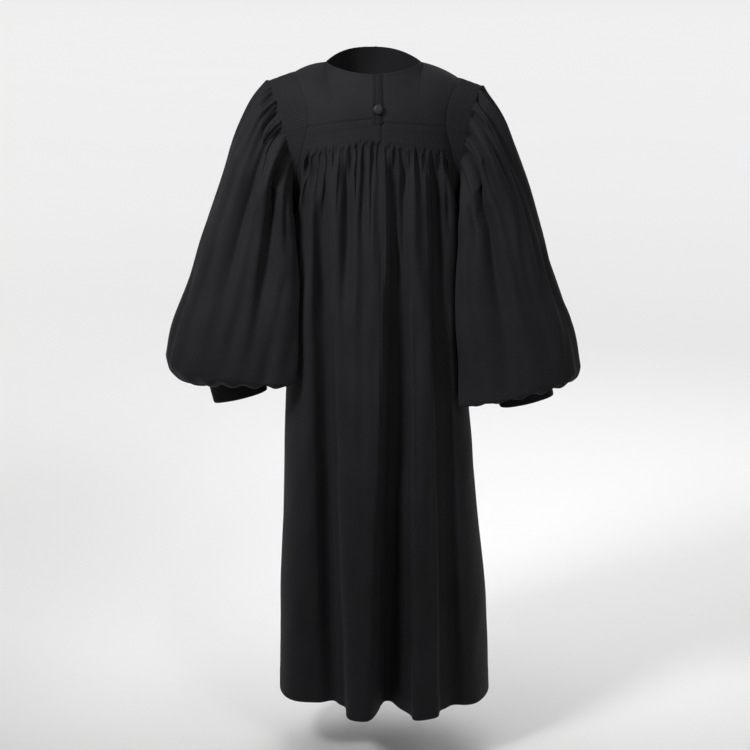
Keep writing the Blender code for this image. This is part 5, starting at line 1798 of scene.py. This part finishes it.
class ROBE_OT_yokes(bpy.types.Operator):
    """Builds the four halves of the back and front yoke."""

    bl_idname = "robe.yokes"
    bl_label = "Yokes"

    def execute(self, context):
        for side, side_name in SIDES:
            for hand, hand_name in HANDS:
                build_yoke(context.scene.robe_sizes, side, side_name, hand, hand_name)
        return {"FINISHED"}


class ROBE_OT_body(bpy.types.Operator):
    """Builds the four halves of the back and front body."""

    bl_idname = "robe.body"
    bl_label = "Body"

    def execute(self, context):
        for side, side_name in SIDES:
            for hand, hand_name in HANDS:
                build_body_panel(context.scene.robe_sizes, side, side_name, hand, hand_name)
        return {"FINISHED"}


class ROBE_OT_sleeves(bpy.types.Operator):
    """Builds both sleeves."""

    bl_idname = "robe.sleeves"
    bl_label = "Sleeves"

    def execute(self, context):
        for hand, hand_name in HANDS:
            build_sleeve(context.scene.robe_sizes, hand, hand_name)
        return {"FINISHED"}


class ROBE_OT_cuffs(bpy.types.Operator):
    """Builds both cuffs."""

    bl_idname = "robe.cuffs"
    bl_label = "Cuffs"

    def execute(self, context):
        for hand, hand_name in HANDS:
            build_cuff(context.scene.robe_sizes, hand, hand_name)
        return {"FINISHED"}


class ROBE_OT_front_strip(bpy.types.Operator):
    """Builds the strip over the front closing."""

    bl_idname = "robe.front_strip"
    bl_label = "Front strip"

    def execute(self, context):
        build_placket(context.scene.robe_sizes)
        return {"FINISHED"}


class ROBE_OT_hood_strap(bpy.types.Operator):
    """Builds the hood strap and its covered button."""

    bl_idname = "robe.hood_strap"
    bl_label = "Hood strap and button"

    def execute(self, context):
        build_hood_strap(context.scene.robe_sizes)
        build_button()
        return {"FINISHED"}


class ROBE_OT_stitching(bpy.types.Operator):
    """Sews the visible rows of stitches."""

    bl_idname = "robe.stitching"
    bl_label = "Stitching"

    def execute(self, context):
        build_stitching(context.scene.robe_sizes)
        return {"FINISHED"}


class ROBE_OT_stage(bpy.types.Operator):
    """Sets up the floor, the lights and the camera."""

    bl_idname = "robe.stage"
    bl_label = "Stage"

    def execute(self, context):
        build_stage(context.scene.robe_studio)
        return {"FINISHED"}


class ROBE_PT_panel(bpy.types.Panel):
    """Lists the robe's pieces and settings."""

    bl_idname = "ROBE_PT_panel"
    bl_label = "Clergy robe"
    bl_space_type = "VIEW_3D"
    bl_region_type = "UI"
    bl_category = "Robe"

    def draw(self, context):
        scene = context.scene
        for group in (scene.robe_sizes, scene.robe_colours, scene.robe_studio):
            box = self.layout.box()
            for name in group.__annotations__:
                box.prop(group, name)
        for operator in OPERATORS:
            self.layout.operator(operator.bl_idname)


GROUPS = (RobeSizes, RobeColours, RobeStudio)
OPERATORS = (
    ROBE_OT_yokes, ROBE_OT_body, ROBE_OT_sleeves, ROBE_OT_cuffs, ROBE_OT_front_strip,
    ROBE_OT_hood_strap, ROBE_OT_stitching, ROBE_OT_stage,
)


def register():
    """Makes the settings, the operators and the panel known to Blender."""
    for kind in GROUPS + OPERATORS + (ROBE_PT_panel,):
        bpy.utils.register_class(kind)
    bpy.types.Scene.robe_sizes = bpy.props.PointerProperty(type=RobeSizes)
    bpy.types.Scene.robe_colours = bpy.props.PointerProperty(type=RobeColours)
    bpy.types.Scene.robe_studio = bpy.props.PointerProperty(type=RobeStudio)


def unregister():
    """Takes them away again, in the opposite order."""
    del bpy.types.Scene.robe_studio
    del bpy.types.Scene.robe_colours
    del bpy.types.Scene.robe_sizes
    for kind in (ROBE_PT_panel,) + OPERATORS[::-1] + GROUPS[::-1]:
        bpy.utils.unregister_class(kind)


def main():
    """Builds the robe and its stage."""
    register()
    for operator in OPERATORS:
        group, name = operator.bl_idname.split(".")
        getattr(getattr(bpy.ops, group), name)()


if __name__ == "__main__":
    main()
